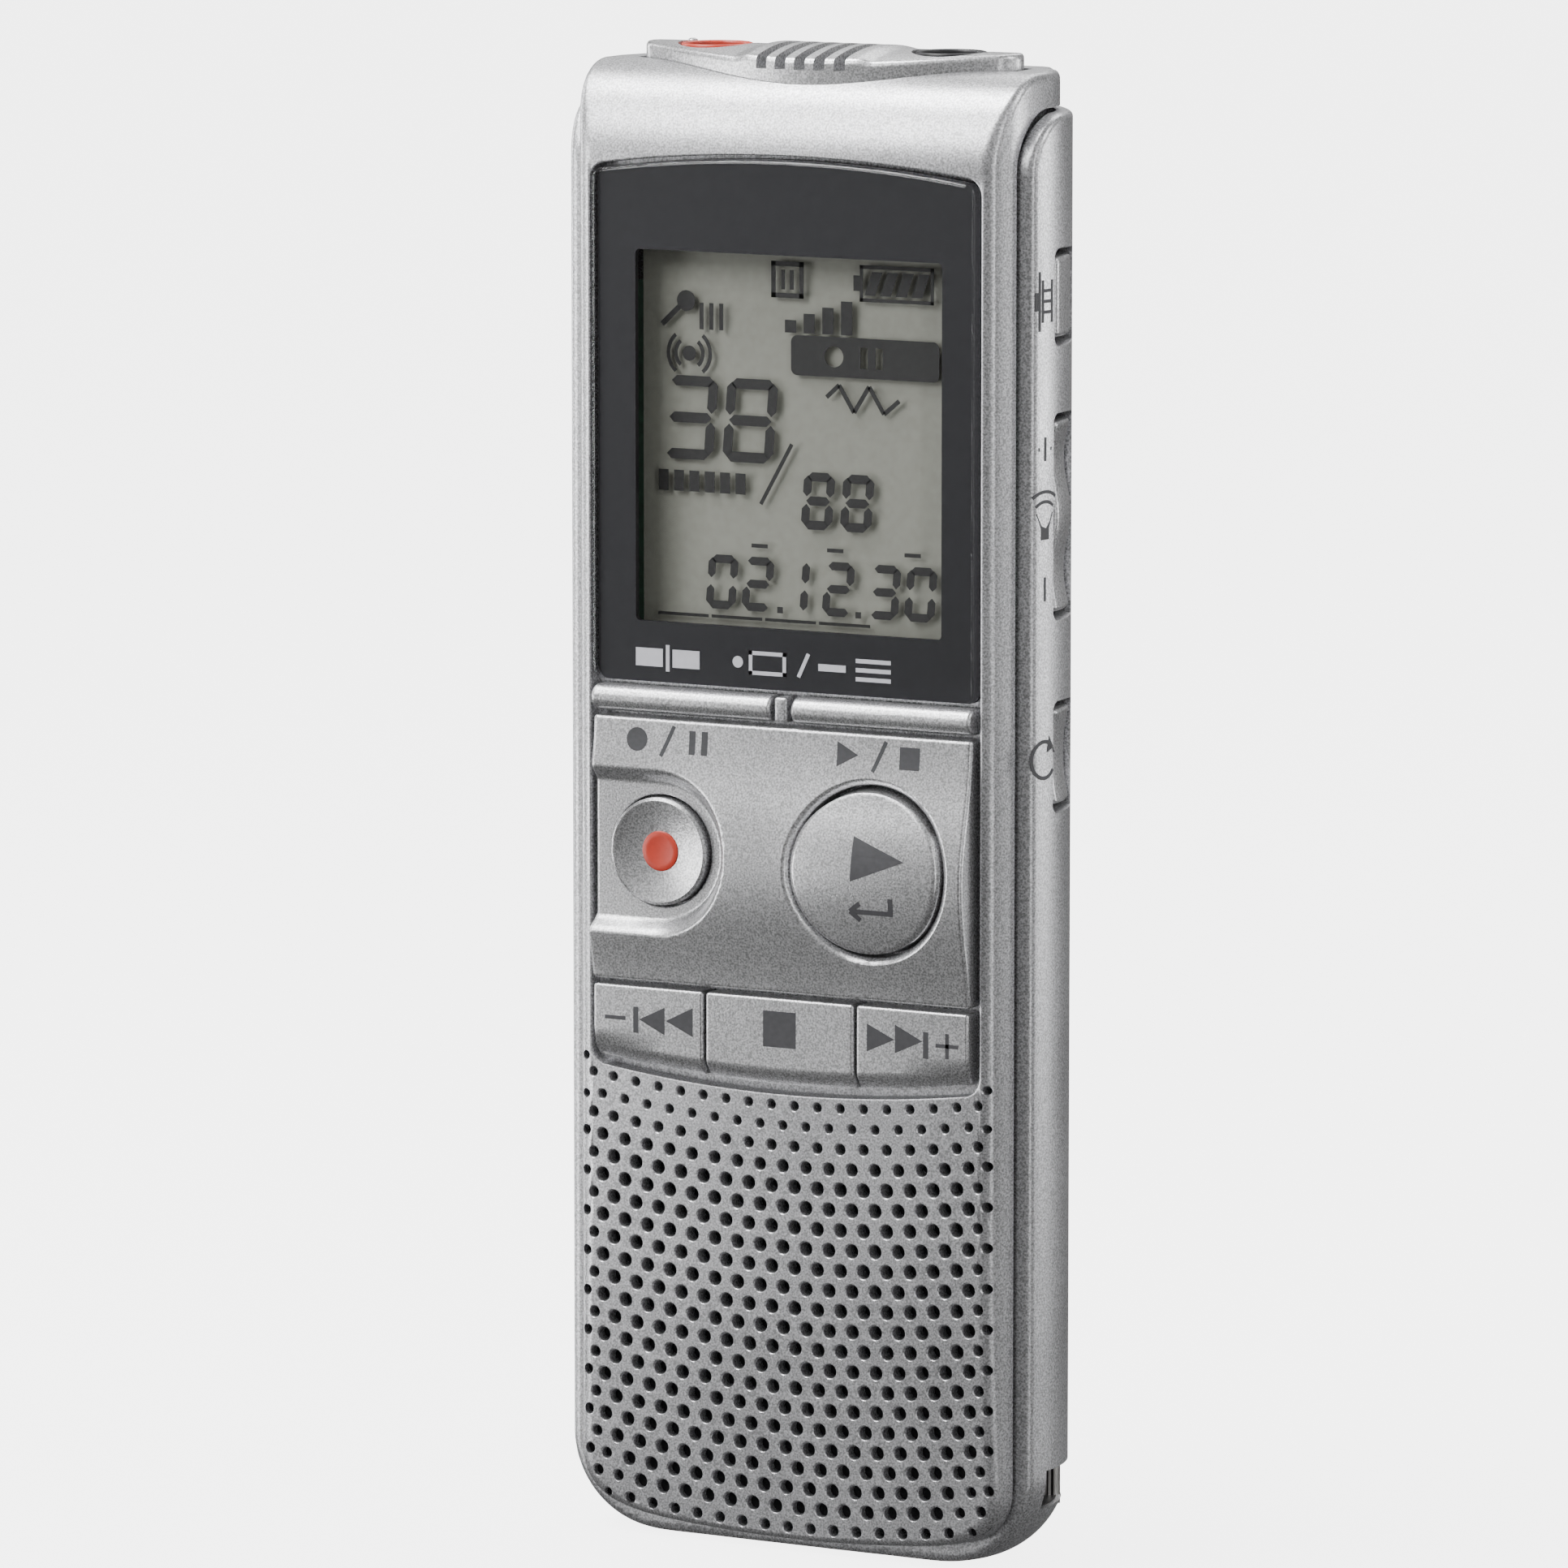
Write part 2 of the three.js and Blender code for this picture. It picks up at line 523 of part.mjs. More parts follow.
function speakerFrame() {
  const { height, r } = SPEAKER;
  const dish = cut(rodInto(0, height, r, 4, 5.8, 36), rodInto(0, height, r - 1.4, 3, 5, 36));
  return join(dish, rodInto(0, height, 6.5, 5.7, 7.7, 24));
}

function speakerCone() {
  const profile = [[0, 4], [3.5, 4.15], [10.9, 3.9], [10.9, 4.3], [3.5, 4.6], [0, 4.5]];
  const geometry = new THREE.LatheGeometry(profile.map(([r, d]) => new THREE.Vector2(r, d)), 28);
  return toSolid(geometry.translate(0, FRONT_Y, SPEAKER.height));
}

const grilleCloth = () => block(-12.1, 12.1, 2.5, 2.8, 5, 31);

function batteryTray() {
  const { half, bottom, top, front, back, wall } = TRAY;
  return cut(
    block(-half, half, front, back, bottom, top),
    block(-half + wall, half - wall, front + wall - 0.2, back + 1, bottom + wall, top - wall),
  );
}

function cell(side) {
  const x = side * CELL.x;
  const low = side < 0 ? 38.4 : 35.5;
  const high = low + CELL.length;
  const nub = side < 0 ? [high - 0.5, high + CELL.nub] : [low - CELL.nub, low + 0.5];
  return join(rodUp(x, CELL.depth, CELL.r, low, high, 32), rodUp(x, CELL.depth, 1.9, ...nub, 16));
}

class Helix extends THREE.Curve {
  constructor(x, depth, low, high, r, turns) {
    super();
    Object.assign(this, { x, depth, low, high, r, turns });
  }
  getPoint(t, target = new THREE.Vector3()) {
    const angle = t * this.turns * 2 * Math.PI;
    const r = this.r * (1 - 0.35 * t);
    return target.set(
      this.x + r * Math.cos(angle),
      FRONT_Y + this.depth + r * Math.sin(angle),
      this.low + (this.high - this.low) * t,
    );
  }
}

function contactSpring(x, low, high) {
  const wire = new THREE.Shape().absarc(0, 0, 0.25, 0, 2 * Math.PI);
  const path = new Helix(x, CELL.depth, low + 0.3, high - 0.3, 3.2, 3);
  const geometry = new THREE.ExtrudeGeometry(wire, { steps: 48, curveSegments: 6, extrudePath: path });
  return toSolid(geometry);
}

// ---- Assembly ----
const recorder = new THREE.Group();

function add(name, solid, material) {
  const mesh = new THREE.Mesh(toGeometry(solid), material);
  mesh.name = name;
  recorder.add(mesh);
}

function addCase() {
  add("front_shell", frontShell(), SILVER);
  add("rear_shell", rearShell(), SILVER);
  add("battery_cover", batteryCover(), SILVER);
  add("top_cap", topCap(), SILVER);
  add("strap_bar", strapBar(), STEEL);
  CASE_SCREWS.forEach((screw) => add(screw.name, caseScrew(screw), STEEL));
}

function addFront() {
  add("display_lens", displayLens(), BLACK_GLOSS);
  add("display_glass", block(-12.7, 12.7, 2.8, 3.7, 65.2, 94.4), DISPLAY);
  add("divide_key", barKey(-1), SILVER);
  add("menu_key", barKey(1), SILVER);
  add("control_plate", controlPlate(), SILVER);
  add("record_button", recordButton(), SILVER);
  add("record_dot", recordDot(), RED);
  add("play_button", playButton(), SILVER);
  add("previous_key", lowerKey(-KEYS.half, -KEYS.split), SILVER);
  add("stop_key", lowerKey(-KEYS.split + GAP, KEYS.split - GAP), SILVER);
  add("next_key", lowerKey(KEYS.split, KEYS.half), SILVER);
}

function addTop() {
  add("microphone_jack", jackSocket(-JACK.x), BLACK_PLASTIC);
  add("microphone_jack_ring", jackRing(-JACK.x), RED);
  add("headphone_jack", jackSocket(JACK.x), BLACK_PLASTIC);
  add("headphone_jack_ring", jackRing(JACK.x), BLACK_PLASTIC);
  add("left_microphone", microphone(-3.1), STEEL);
  add("right_microphone", microphone(3.1), STEEL);
}

function addSides() {
  add("erase_button", sideButton(ERASE, [middleOf(ERASE)], 0.3), SILVER);
  add("volume_rocker", sideButton(VOLUME, [VOLUME.top, middleOf(VOLUME), VOLUME.bottom], 0.45), SILVER);
  add("repeat_button", sideButton(REPEAT, [REPEAT.top, REPEAT.bottom], 0.4), SILVER);
  add("side_board", block(14.6, 15.2, 5.8, 10, 53.5, 95), BOARD_GREEN);
  const switches = {
    erase_switch: middleOf(ERASE),
    volume_up_switch: VOLUME.top - 3,
    volume_down_switch: VOLUME.bottom + 3,
    repeat_switch: middleOf(REPEAT),
  };
  Object.entries(switches).forEach(([name, height]) =>
    add(name, block(15.5, 16.5, 6, 8.4, height - 1.4, height + 1.4), BLACK_PLASTIC),
  );
  add("hold_slider", holdSlider(), SILVER);
  add("hold_switch", block(-16.4, -14.4, 5.9, 8.1, 70.5, 79.9), BLACK_PLASTIC);
}

function addElectronics() {
  add("main_board", mainBoard(), BOARD_GREEN);
  add("keypad_membrane", keypadMembrane(), RUBBER);
  add("processor_chip", block(-4.2, 1.4, 3.6, 4.3, 42.2, 47.8), BLACK_PLASTIC);
  add("memory_chip", block(-4.6, 0.6, 3.6, 4.3, 51.4, 58), BLACK_PLASTIC);
  const domes = {
    divide_dome: [-8, 61],
    menu_dome: [8, 61],
    record_dome: [RECORD.x, RECORD.height],
    play_dome: [PLAY.x, PLAY.height],
    previous_dome: [-10.65, 37.8],
    stop_dome: [0, 37.8],
    next_dome: [10.65, 37.8],
  };
  Object.entries(domes).forEach(([name, [x, height]]) => add(name, rodInto(x, height, 1.9, 3.6, 4.3, 16), STEEL));
  add("board_screw_left", boardScrew(-BOARD_SCREWS.x), STEEL);
  add("board_screw_right", boardScrew(BOARD_SCREWS.x), STEEL);
  add("speaker_frame", speakerFrame(), STEEL);
  add("speaker_cone", speakerCone(), CLOTH);
  add("grille_cloth", grilleCloth(), CLOTH);
}

function addPower() {
  add("battery_tray", batteryTray(), BLACK_PLASTIC);
  add("left_cell", cell(-1), CELL_SLEEVE);
  add("right_cell", cell(1), CELL_SLEEVE);
  add("left_contact_spring", contactSpring(-CELL.x, 33.8, 38.1), STEEL);
  add("right_contact_spring", contactSpring(CELL.x, 79.3, 84.6), STEEL);
  add("bridge_contact", block(-9, 9, 8.5, 13.6, 84.9, 85.3), STEEL);
  add("positive_contact", block(2.5, 8.5, 8.5, 13.6, 33.7, 34.1), STEEL);
}

addCase();
addFront();
addTop();
addSides();
addElectronics();
addPower();

export default recorder;
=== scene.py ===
"""Looks of a handheld digital voice recorder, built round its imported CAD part.

Sizes in this script are millimetres, as x (right), depth (back from the flat of the front face) and
height (up from the bottom end). place() turns them into the row frame, in metres.
"""

import json
import math

import bmesh
import bpy
import numpy as np
from mathutils import Matrix, Vector


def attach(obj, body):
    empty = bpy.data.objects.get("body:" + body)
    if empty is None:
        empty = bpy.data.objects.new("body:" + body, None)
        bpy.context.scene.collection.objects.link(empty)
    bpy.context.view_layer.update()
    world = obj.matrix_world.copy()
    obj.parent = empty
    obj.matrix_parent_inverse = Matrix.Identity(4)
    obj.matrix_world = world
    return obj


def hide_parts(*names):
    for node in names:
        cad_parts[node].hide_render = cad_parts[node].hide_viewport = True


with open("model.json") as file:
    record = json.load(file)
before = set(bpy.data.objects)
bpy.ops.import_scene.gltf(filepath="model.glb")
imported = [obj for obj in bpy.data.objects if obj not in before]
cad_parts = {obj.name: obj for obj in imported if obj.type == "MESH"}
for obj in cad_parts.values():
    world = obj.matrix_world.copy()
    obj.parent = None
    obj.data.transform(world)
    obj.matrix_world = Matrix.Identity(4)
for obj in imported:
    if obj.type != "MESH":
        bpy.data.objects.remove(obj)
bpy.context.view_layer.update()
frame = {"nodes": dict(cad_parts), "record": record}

# ---- Driving dimensions ----
MM = 0.001
FRONT_Y = -8.1  # where the flat of the front face lies in the row frame
CASE_DEPTH = 18.4
WALL = 1.2
FACE_HALF = 17.65
FACE_ARC = 206.0  # twice the radius that the rows of curved edges share
TIGHT = (10.08, 5.4, 9.0)  # x, depth and radius of the side wall's tight arc
WIDE = (2.713, 0.616, 17.784)  # the same for its wide arc
TURN = math.radians(33)  # direction from the x axis in which one arc takes over from the other
SIDE = TIGHT[0] + TIGHT[2]
HOOD_INSET = 0.85
SEAM = 2.45
RECESS_HALF = 15.65
CONTROL_BACK = 1.2
PLATE = {"half": 15.25, "bottom": 40.7, "top": 59.75}
RECORD = (-9.85, 50.2)
RECORD_RADIUS = 3.9
RECORD_FRONT = -0.55
PLAY = (7.5, 50.0)
PLAY_RADIUS = 6.0
BAR_HEIGHT = 61.0
BAR_RADIUS = 0.93
KEY_FRONT = -0.55
KEY_BOTTOM = 34.05
KEY_TOP = 40.33
LENS_FRONT = -0.35
LENS_HALF = 15.35
PRINT_DEPTH = 0.75
SEGMENT_DEPTH = 2.86
JACK_X = 9.4
CAP_DEPTH = 7.65
CAP_FOOT = 104.7
CAP_TOP = 107.8
CAP_HALF = 14.95
CAP_REACH = 5.2
CAP_ROUND = 29.9
CAP_CROWN = 17.3
ERASE = (87.9, 93.6)  # lowest and highest point of each side button
VOLUME = (68.5, 82.0)
REPEAT = (54.8, 61.6)
SIDE_FACE = (5.35, 8.95)  # depths of the side buttons' front and back edges
COVER = (33.3, 85.7)
SCREWS = [(-14.2, 12, 10.9), (14.2, 12, 10.9), (0, 98.5, 15.5)]  # x, height, depth of the head's seat
HOLE_COLUMN = 0.9275
HOLE_ROW = 1.467
CLOTH_FRONT = 1.4
EYE = {"inner": 14.2, "front": 4.3, "bottom": 4.3, "top": 7.1}
SHARP = 35  # edges that turn by more degrees than this are shaded as corners
PAPER_GLOW = 4.6
CAMERA_AROUND = 28.45
CAMERA_ABOVE = 8.07
CAMERA_AWAY = 753.7
CAMERA_LENS = 242.2


def place(points):
    """Millimetres as x, depth, height, to metres in the row frame."""
    moved = np.array(points, float).reshape(-1, 3)
    moved[:, 1] += FRONT_Y
    return moved * MM


# ---- Fields: each is positive outside a shape, and zero on its surface ----
def meet(a, b, r):
    """Two outer bounds that meet in a rounded edge."""
    round_off = np.hypot(np.maximum(a + r, 0), np.maximum(b + r, 0))
    return np.minimum(np.maximum(a, b), -r) + round_off


def meet_oval(a, b, ra, rb):
    return meet(a / ra, b / rb, 1.0) * min(ra, rb)


def blend_max(a, b, k):
    return np.maximum(a, b) + np.maximum(k - np.abs(a - b), 0) ** 2 / (4 * k)


def plan_wall(x, d, inset):
    """The side and back of the case in plan: a tight arc, a wide arc, then the flat of the back."""
    x = np.abs(x)
    tight = np.hypot(np.maximum(x - TIGHT[0], 0), d - TIGHT[1]) - (TIGHT[2] - inset)
    wide = np.hypot(x - WIDE[0], d - WIDE[1]) - (WIDE[2] - inset)
    past = (d - TIGHT[1]) * math.cos(TURN) > (x - TIGHT[0]) * math.sin(TURN)
    wall = np.where(past, wide, tight)
    return np.where((x < WIDE[0]) & (d > WIDE[1]), d - (CASE_DEPTH - inset), wall)


def lean(z):
    """How far the face leans back near the bottom."""
    return 0.64 * (np.maximum(24.65 - z, 0) / 21.2) ** 2


def face_depth(x, z):
    """Depth of the front face: a slight crown across, and leaning back low down."""
    return lean(z) + 0.19 * (x / 17) ** 2


def smile(middle, x):
    return middle + x * x / FACE_ARC


def frown(middle, x):
    return middle - x * x / FACE_ARC


def front_field(x, d, z):
    face = face_depth(x, z) - d
    roll = meet_oval(face, z - 106.4, 5.3, 6.6)
    back = meet_oval(d - 17.5, z - 106.4, 6.0, 8.0)
    sides = blend_max(np.abs(x) - FACE_HALF, plan_wall(x, d, HOOD_INSET), 0.8)
    edge = np.minimum(np.abs(x), 13.8)
    outline = meet(sides, smile(0.8, edge) - z, 4.0)
    return meet(outline, np.maximum(roll, back), 0.5)


def rear_field(x, d, z):
    roll = meet_oval(d - CASE_DEPTH, z - 107, 6.6, 9.0)
    walls = meet(np.maximum(plan_wall(x, d, 0), roll), -z, 6.8)
    seam = meet(SEAM - d, z - 103.6, 4.1)
    return meet(walls, seam, 0.45)


def rear_hollow(x, d, z):
    roll = meet_oval(d - CASE_DEPTH + WALL, z - 107, 5.4, 9.0)
    return np.maximum(meet(np.maximum(plan_wall(x, d, WALL), roll), WALL - z, 5.6), -1 - d)


def cover_field(x, d, z):
    return plan_wall(x, d, 0)


def plate_front(z):
    """Depth of the control plate's bulge at a height."""
    off = z - 49.5
    turn = np.minimum(np.abs(off) / np.where(off > 0, 10.1, 11.6), 1) * math.pi / 2
    return -0.3 - 1.6 * np.cos(turn) ** 2


def ease(low, high, value):
    t = np.clip((value - low) / (high - low), 0, 1)
    return t * t * (3 - 2 * t)


def plate_depth(x, z):
    """The control plate's front: a bulge, with a dish round the record button open to the left."""
    dish = np.hypot(np.maximum(x - RECORD[0], 0), z - RECORD[1]) - 5.6
    return plate_front(z) + (0.05 - plate_front(z)) * ease(0.5, -0.8, dish)


def plate_field(x, d, z):
    middle = (PLATE["bottom"] + PLATE["top"]) / 2
    tall = np.abs(z - middle) - (PLATE["top"] - PLATE["bottom"]) / 2
    outline = meet(np.abs(x) - PLATE["half"], tall, 0.3)
    return np.maximum(meet(outline, plate_depth(x, z) - d, 0.3), d - CONTROL_BACK)


def play_surface(x, z):
    """The play button's face: steeper than the plate's bulge, and crowned a little across."""
    return plate_front(PLAY[1] + 1.15 * (z - PLAY[1])) - 0.3 + 0.004 * (x - PLAY[0]) ** 2


def play_field(x, d, z):
    rim = np.hypot(x - PLAY[0], z - PLAY[1]) - PLAY_RADIUS
    return np.maximum(meet(rim, play_surface(x, z) - d, 0.5), d - CONTROL_BACK)


def record_field(x, d, z):
    r = np.hypot(x - RECORD[0], z - RECORD[1])
    dish = RECORD_FRONT + 0.5 * np.clip(1 - (r / 3.7) ** 2, 0, 1)
    return np.maximum(meet(r - RECORD_RADIUS, dish - d, 0.25), d - CONTROL_BACK)


def bar_field(middle, half):
    """A half-round bar, flat towards the back."""

    def field(x, d, z):
        height = z - BAR_HEIGHT
        across = np.where(d < 0.35, np.hypot(d - 0.35, height), np.abs(height)) - BAR_RADIUS
        return np.maximum(meet(across, np.abs(x - middle) - half, 0.25), d - CONTROL_BACK)

    return field


def key_field(left, right):
    """A flat key with a curved foot, chamfered along it."""
    middle = (left + right) / 2
    half = (right - left) / 2

    def field(x, d, z):
        foot = smile(KEY_BOTTOM, x)
        chamfer = (foot + 0.95 - z) * 0.62 - (d - KEY_FRONT) * 0.78
        low = np.maximum(foot - z, chamfer)
        tall = meet(z - KEY_TOP, low, 0.2)
        outline = meet(np.abs(x - middle) - half, tall, 0.25)
        return np.maximum(meet(outline, KEY_FRONT - d, 0.22), d - CONTROL_BACK)

    return field


def cap_field(x, d, z):
    """A lens-shaped plate with blunt ends, crowned from front to back, and raised in the middle."""
    offset = CAP_ROUND - CAP_REACH
    fore = np.hypot(x, d - (CAP_DEPTH + offset)) - CAP_ROUND
    aft = np.hypot(x, d - (CAP_DEPTH - offset)) - CAP_ROUND
    plan = meet(blend_max(fore, aft, 0.5), np.abs(x) - CAP_HALF, 1.0)
    top = CAP_TOP - 0.24 * ease(4.3, 5.6, np.abs(x))
    crown = np.hypot(d - CAP_DEPTH, z - (top - CAP_CROWN)) - CAP_CROWN
    return np.maximum(meet(plan, crown, 0.35), CAP_FOOT - z)


def side_button_field(bottom, top, shape):
    """A button in the right wall whose face follows the wall, lowered by shape(height)."""
    front, back = SIDE_FACE

    def field(x, d, z):
        face = plan_wall(x, d, 0) + shape(z)
        tall = np.abs(z - (bottom + top) / 2) - (top - bottom) / 2
        wide = np.abs(d - (front + back) / 2) - (back - front) / 2
        return np.maximum(meet(meet(tall, wide, 0.4), face, 0.35), 17 - x)

    return field


# ---- Meshes from fields ----
def slope(field, points):
    """The field's gradient at each point."""
    step = 1e-3
    found = np.empty_like(points)
    for axis in range(3):
        off = np.zeros(3)
        off[axis] = step
        ahead = field(*(points + off).T)
        found[:, axis] = (ahead - field(*(points - off).T)) / (2 * step)
    return found


def settle(field, points):
    """Moves points along the gradient until they lie on the field's surface."""
    for _ in range(24):
        g = slope(field, points)
        steep = np.maximum((g * g).sum(1), 1e-4)
        move = np.clip(field(*points.T) / steep, -2, 2)
        points = points - g * move[:, None]
    return points


def levels(start, *spans):
    """Values along an axis, from its start and then an (end, count) for each span."""
    values = []
    for end, count in spans:
        values.append(np.linspace(start, end, count + 1))
        start = end
    return np.unique(np.concatenate(values).round(6))


def edged(low, high, edge, fine, coarse):
    """Levels from low to high, closer together near both ends."""
    return levels(low, (low + edge, fine), (high - edge, coarse), (high, fine))


def mirror_levels(values):
    return np.unique(np.concatenate([values, -values]))


def side_quads(grid, flip):
    corners = (grid[:-1, :-1], grid[1:, :-1], grid[1:, 1:], grid[:-1, 1:])
    quads = np.stack(corners, -1).reshape(-1, 4)
    return quads[:, ::-1] if flip else quads


def in_scene(name, data):
    obj = bpy.data.objects.new(name, data)
    bpy.context.scene.collection.objects.link(obj)
    return obj


def new_object(name, points, faces):
    mesh = bpy.data.meshes.new(name)
    mesh.from_pydata(place(points).tolist(), [], [list(map(int, f)) for f in faces])
    mesh.update()
    return in_scene(name, mesh)


def field_solid(name, field, xs, ds, zs, warp=None):
    """A box grid over the given levels, with each point pushed onto the field's surface."""
    xs, ds, zs = (np.asarray(v, float) for v in (xs, ds, zs))
    on_skin = np.zeros((len(xs), len(ds), len(zs)), bool)
    on_skin[[0, -1]] = True
    on_skin[:, [0, -1]] = True
    on_skin[:, :, [0, -1]] = True
    index = np.full(on_skin.shape, -1)
    index[on_skin] = np.arange(on_skin.sum())
    i, j, k = np.nonzero(on_skin)
    points = np.stack([xs[i], ds[j], zs[k]], 1)
    if warp:
        points = warp(points)
    points = settle(field, points)
    faces = []
    for axis, flip in enumerate((True, False, True)):
        faces.append(side_quads(index.take(0, axis), flip))
        faces.append(side_quads(index.take(-1, axis), not flip))
    return new_object(name, points, np.concatenate(faces))


# ---- Meshes from outlines ----
def arc_points(cx, cy, r, start, end, count):
    turn = np.radians(np.linspace(start, end, count + 1))
    return np.stack([cx + r * np.cos(turn), cy + r * np.sin(turn)], 1)


def circle(cx, cy, r, count=32):
    return arc_points(cx, cy, r, 0, 360, count)[:-1]


def panel(left, right, bottom, top, corner, across=10):
    """Outline of [x, height] whose bottom and top edges are functions of x."""
    xs = np.linspace(left + corner, right - corner, across + 1)
    a, b = xs[0], xs[-1]
    low = np.stack([xs, [bottom(x) for x in xs]], 1)
    high = np.stack([xs, [top(x) for x in xs]], 1)[::-1]
    return np.concatenate(
        [
            low[:-1],
            arc_points(b, bottom(b) + corner, corner, -90, 0, 6),
            arc_points(b, top(b) - corner, corner, 0, 90, 6)[:-1],
            high[:-1],
            arc_points(a, top(a) - corner, corner, 90, 180, 6),
            arc_points(a, bottom(a) + corner, corner, 180, 270, 6)[:-1],
        ]
    )


def polygon(*corners):
    return np.array(corners, float)


def plain_panel(left, right, bottom, top, corner):
    return panel(left, right, lambda x: bottom, lambda x: top, corner, 2)


def inset(outline, amount):
    """The outline moved inwards. It runs anticlockwise."""
    ahead = np.roll(outline, -1, 0) - outline
    ahead /= np.linalg.norm(ahead, axis=1, keepdims=True)
    behind = np.roll(ahead, 1, 0)
    inward = np.stack([-(ahead + behind)[:, 1], (ahead + behind)[:, 0]], 1)
    inward /= np.linalg.norm(inward, axis=1, keepdims=True)
    return outline + inward * amount


def facing(outline, depth):
    """A front-view outline at a depth."""
    return np.stack([outline[:, 0], np.broadcast_to(depth, len(outline)), outline[:, 1]], 1)


def level(outline, height):
    """A plan outline at a height."""
    return np.stack([outline[:, 0], outline[:, 1], np.broadcast_to(height, len(outline))], 1)


def edgewise(outline, x):
    """A side-view outline of [depth, height] at an x."""
    return np.stack([np.broadcast_to(x, len(outline)), outline[:, 0], outline[:, 1]], 1)


def band(low, high, sides):
    """Faces between two rings of points, from the index of each ring's first point."""
    ahead = [*range(1, sides), 0]
    return [[low + i, low + j, high + j, high + i] for i, j in enumerate(ahead)]


def loft_faces(count, loops, start=0):
    last = start + (loops - 1) * count
    faces = [[start + i for i in range(count)][::-1], [last + i for i in range(count)]]
    for low in range(start, last, count):
        faces += band(low, low + count, count)
    return faces


def outward(obj):
    bm = bmesh.new()
    bm.from_mesh(obj.data)
    bmesh.ops.recalc_face_normals(bm, faces=bm.faces)
    bm.to_mesh(obj.data)
    bm.free()
    return obj


def loft(name, loops):
    points = np.concatenate(loops)
    return outward(new_object(name, points, loft_faces(len(loops[0]), len(loops))))


def lofts(name, stacks):
    """Several separate lofts in one mesh."""
    points = []
    faces = []
    for loops in stacks:
        faces += loft_faces(len(loops[0]), len(loops), sum(len(p) for p in points))
        points += loops
    return outward(new_object(name, np.concatenate(points), faces))


def slab(name, outline, front, back):
    """A front-view outline from one depth to another."""
    return loft(name, [facing(outline, front), facing(outline, back)])


def post(name, outline, low, high):
    """A plan outline from one height to another."""
    return loft(name, [level(outline, low), level(outline, high)])


def tile(name, outline, front, back, rounding):
    """A plate seen from the front, with a rounded front edge."""
    loops = [facing(outline, back)]
    for turn in np.linspace(0, math.pi / 2, 5):
        ring = inset(outline, rounding * (1 - math.cos(turn)))
        loops.append(facing(ring, front + rounding * (1 - math.sin(turn))))
    return loft(name, loops)


# ---- Cutting and shading ----
def baked(obj):
    """Replaces an object's mesh with its modified mesh."""
    graph = bpy.context.evaluated_depsgraph_get()
    done = bpy.data.meshes.new_from_object(obj.evaluated_get(graph), depsgraph=graph)
    obj.modifiers.clear()
    obj.data = done
    return obj


def carve(obj, cutter, operation="DIFFERENCE"):
    step = obj.modifiers.new("carve", "BOOLEAN")
    step.operation = operation
    step.solver = "MANIFOLD"
    step.object = cutter
    baked(obj)
    bpy.data.objects.remove(cutter)
    if len(obj.data.polygons) < 4:
        raise RuntimeError(f"cutting {obj.name} left nothing")


def gather(items, name, kind=float, width=3):
    """One attribute of every vertex, corner or face, a row each."""
    values = np.empty(len(items) * width, kind)
    items.foreach_get(name, values)
    return values.reshape(-1, width)


def polish(obj, field):
    """Smooth shading with sharp corners, and the field's own normals where the mesh lies on it."""
    mesh = obj.data
    mesh.shade_smooth()
    mesh.set_sharp_from_angle(angle=math.radians(SHARP))
    points = gather(mesh.vertices, "co") / MM - [0, FRONT_Y, 0]
    normals = slope(field, points)
    normals /= np.maximum(np.linalg.norm(normals, axis=1, keepdims=True), 1e-9)
    near = np.abs(field(*points.T)) < 0.012
    corner_vertex = gather(mesh.loops, "vertex_index", int, 1)[:, 0]
    totals = gather(mesh.polygons, "loop_total", int, 1)[:, 0]
    face = np.repeat(np.arange(len(totals)), totals)
    shading = gather(mesh.corner_normals, "vector")
    agree = (gather(mesh.polygons, "normal")[face] * normals[corner_vertex]).sum(1) > 0.8
    fits = near[corner_vertex] & agree
    whole = np.ones(len(totals), bool)
    np.logical_and.at(whole, face, fits)
    use = whole[face]
    shading[use] = normals[corner_vertex][use]
    mesh.normals_split_custom_set(shading.tolist())


def even(obj, angle=40):
    """Smooth shading whose flats stay flat."""
    obj.data.shade_smooth()
    obj.data.set_sharp_from_angle(angle=math.radians(angle))
    step = obj.modifiers.new("even", "WEIGHTED_NORMAL")
    step.keep_sharp = True
    step.weight = 100
    return baked(obj)


# ---- Materials ----
def node_material(name):
    material = bpy.data.materials.new(name)
    material.use_nodes = True
    tree = material.node_tree
    return material, tree, tree.nodes["Principled BSDF"]


def put(node, **values):
    """Sets a shader node's inputs. An underscore stands for a space in an input's name."""
    for name, value in values.items():
        node.inputs[name.replace("_", " ")].default_value = value


def add_node(tree, kind, **values):
    node = tree.nodes.new("ShaderNode" + kind)
    put(node, **values)
    return node


def object_noise(tree, scale, detail=2.0):
    noise = add_node(tree, "TexNoise", Scale=scale, Detail=detail)
    tree.links.new(add_node(tree, "TexCoord").outputs["Object"], noise.inputs["Vector"])
    return noise.outputs["Fac"]


def tint(tree, factor, target, dark, light, low=0.3, high=0.7):
    """Feeds an input with colours between dark and light."""
    ramp = add_node(tree, "ValToRGB")
    for end, position, color in zip(ramp.color_ramp.elements, (low, high), (dark, light)):
        end.position = position
        end.color = (*color, 1)
    tree.links.new(factor, ramp.inputs["Fac"])
    tree.links.new(ramp.outputs["Color"], target)


def bump(tree, shader, height, strength):
    node = add_node(tree, "Bump", Strength=strength, Distance=0.00003)
    tree.links.new(height, node.inputs["Height"])
    tree.links.new(node.outputs["Normal"], shader.inputs["Normal"])


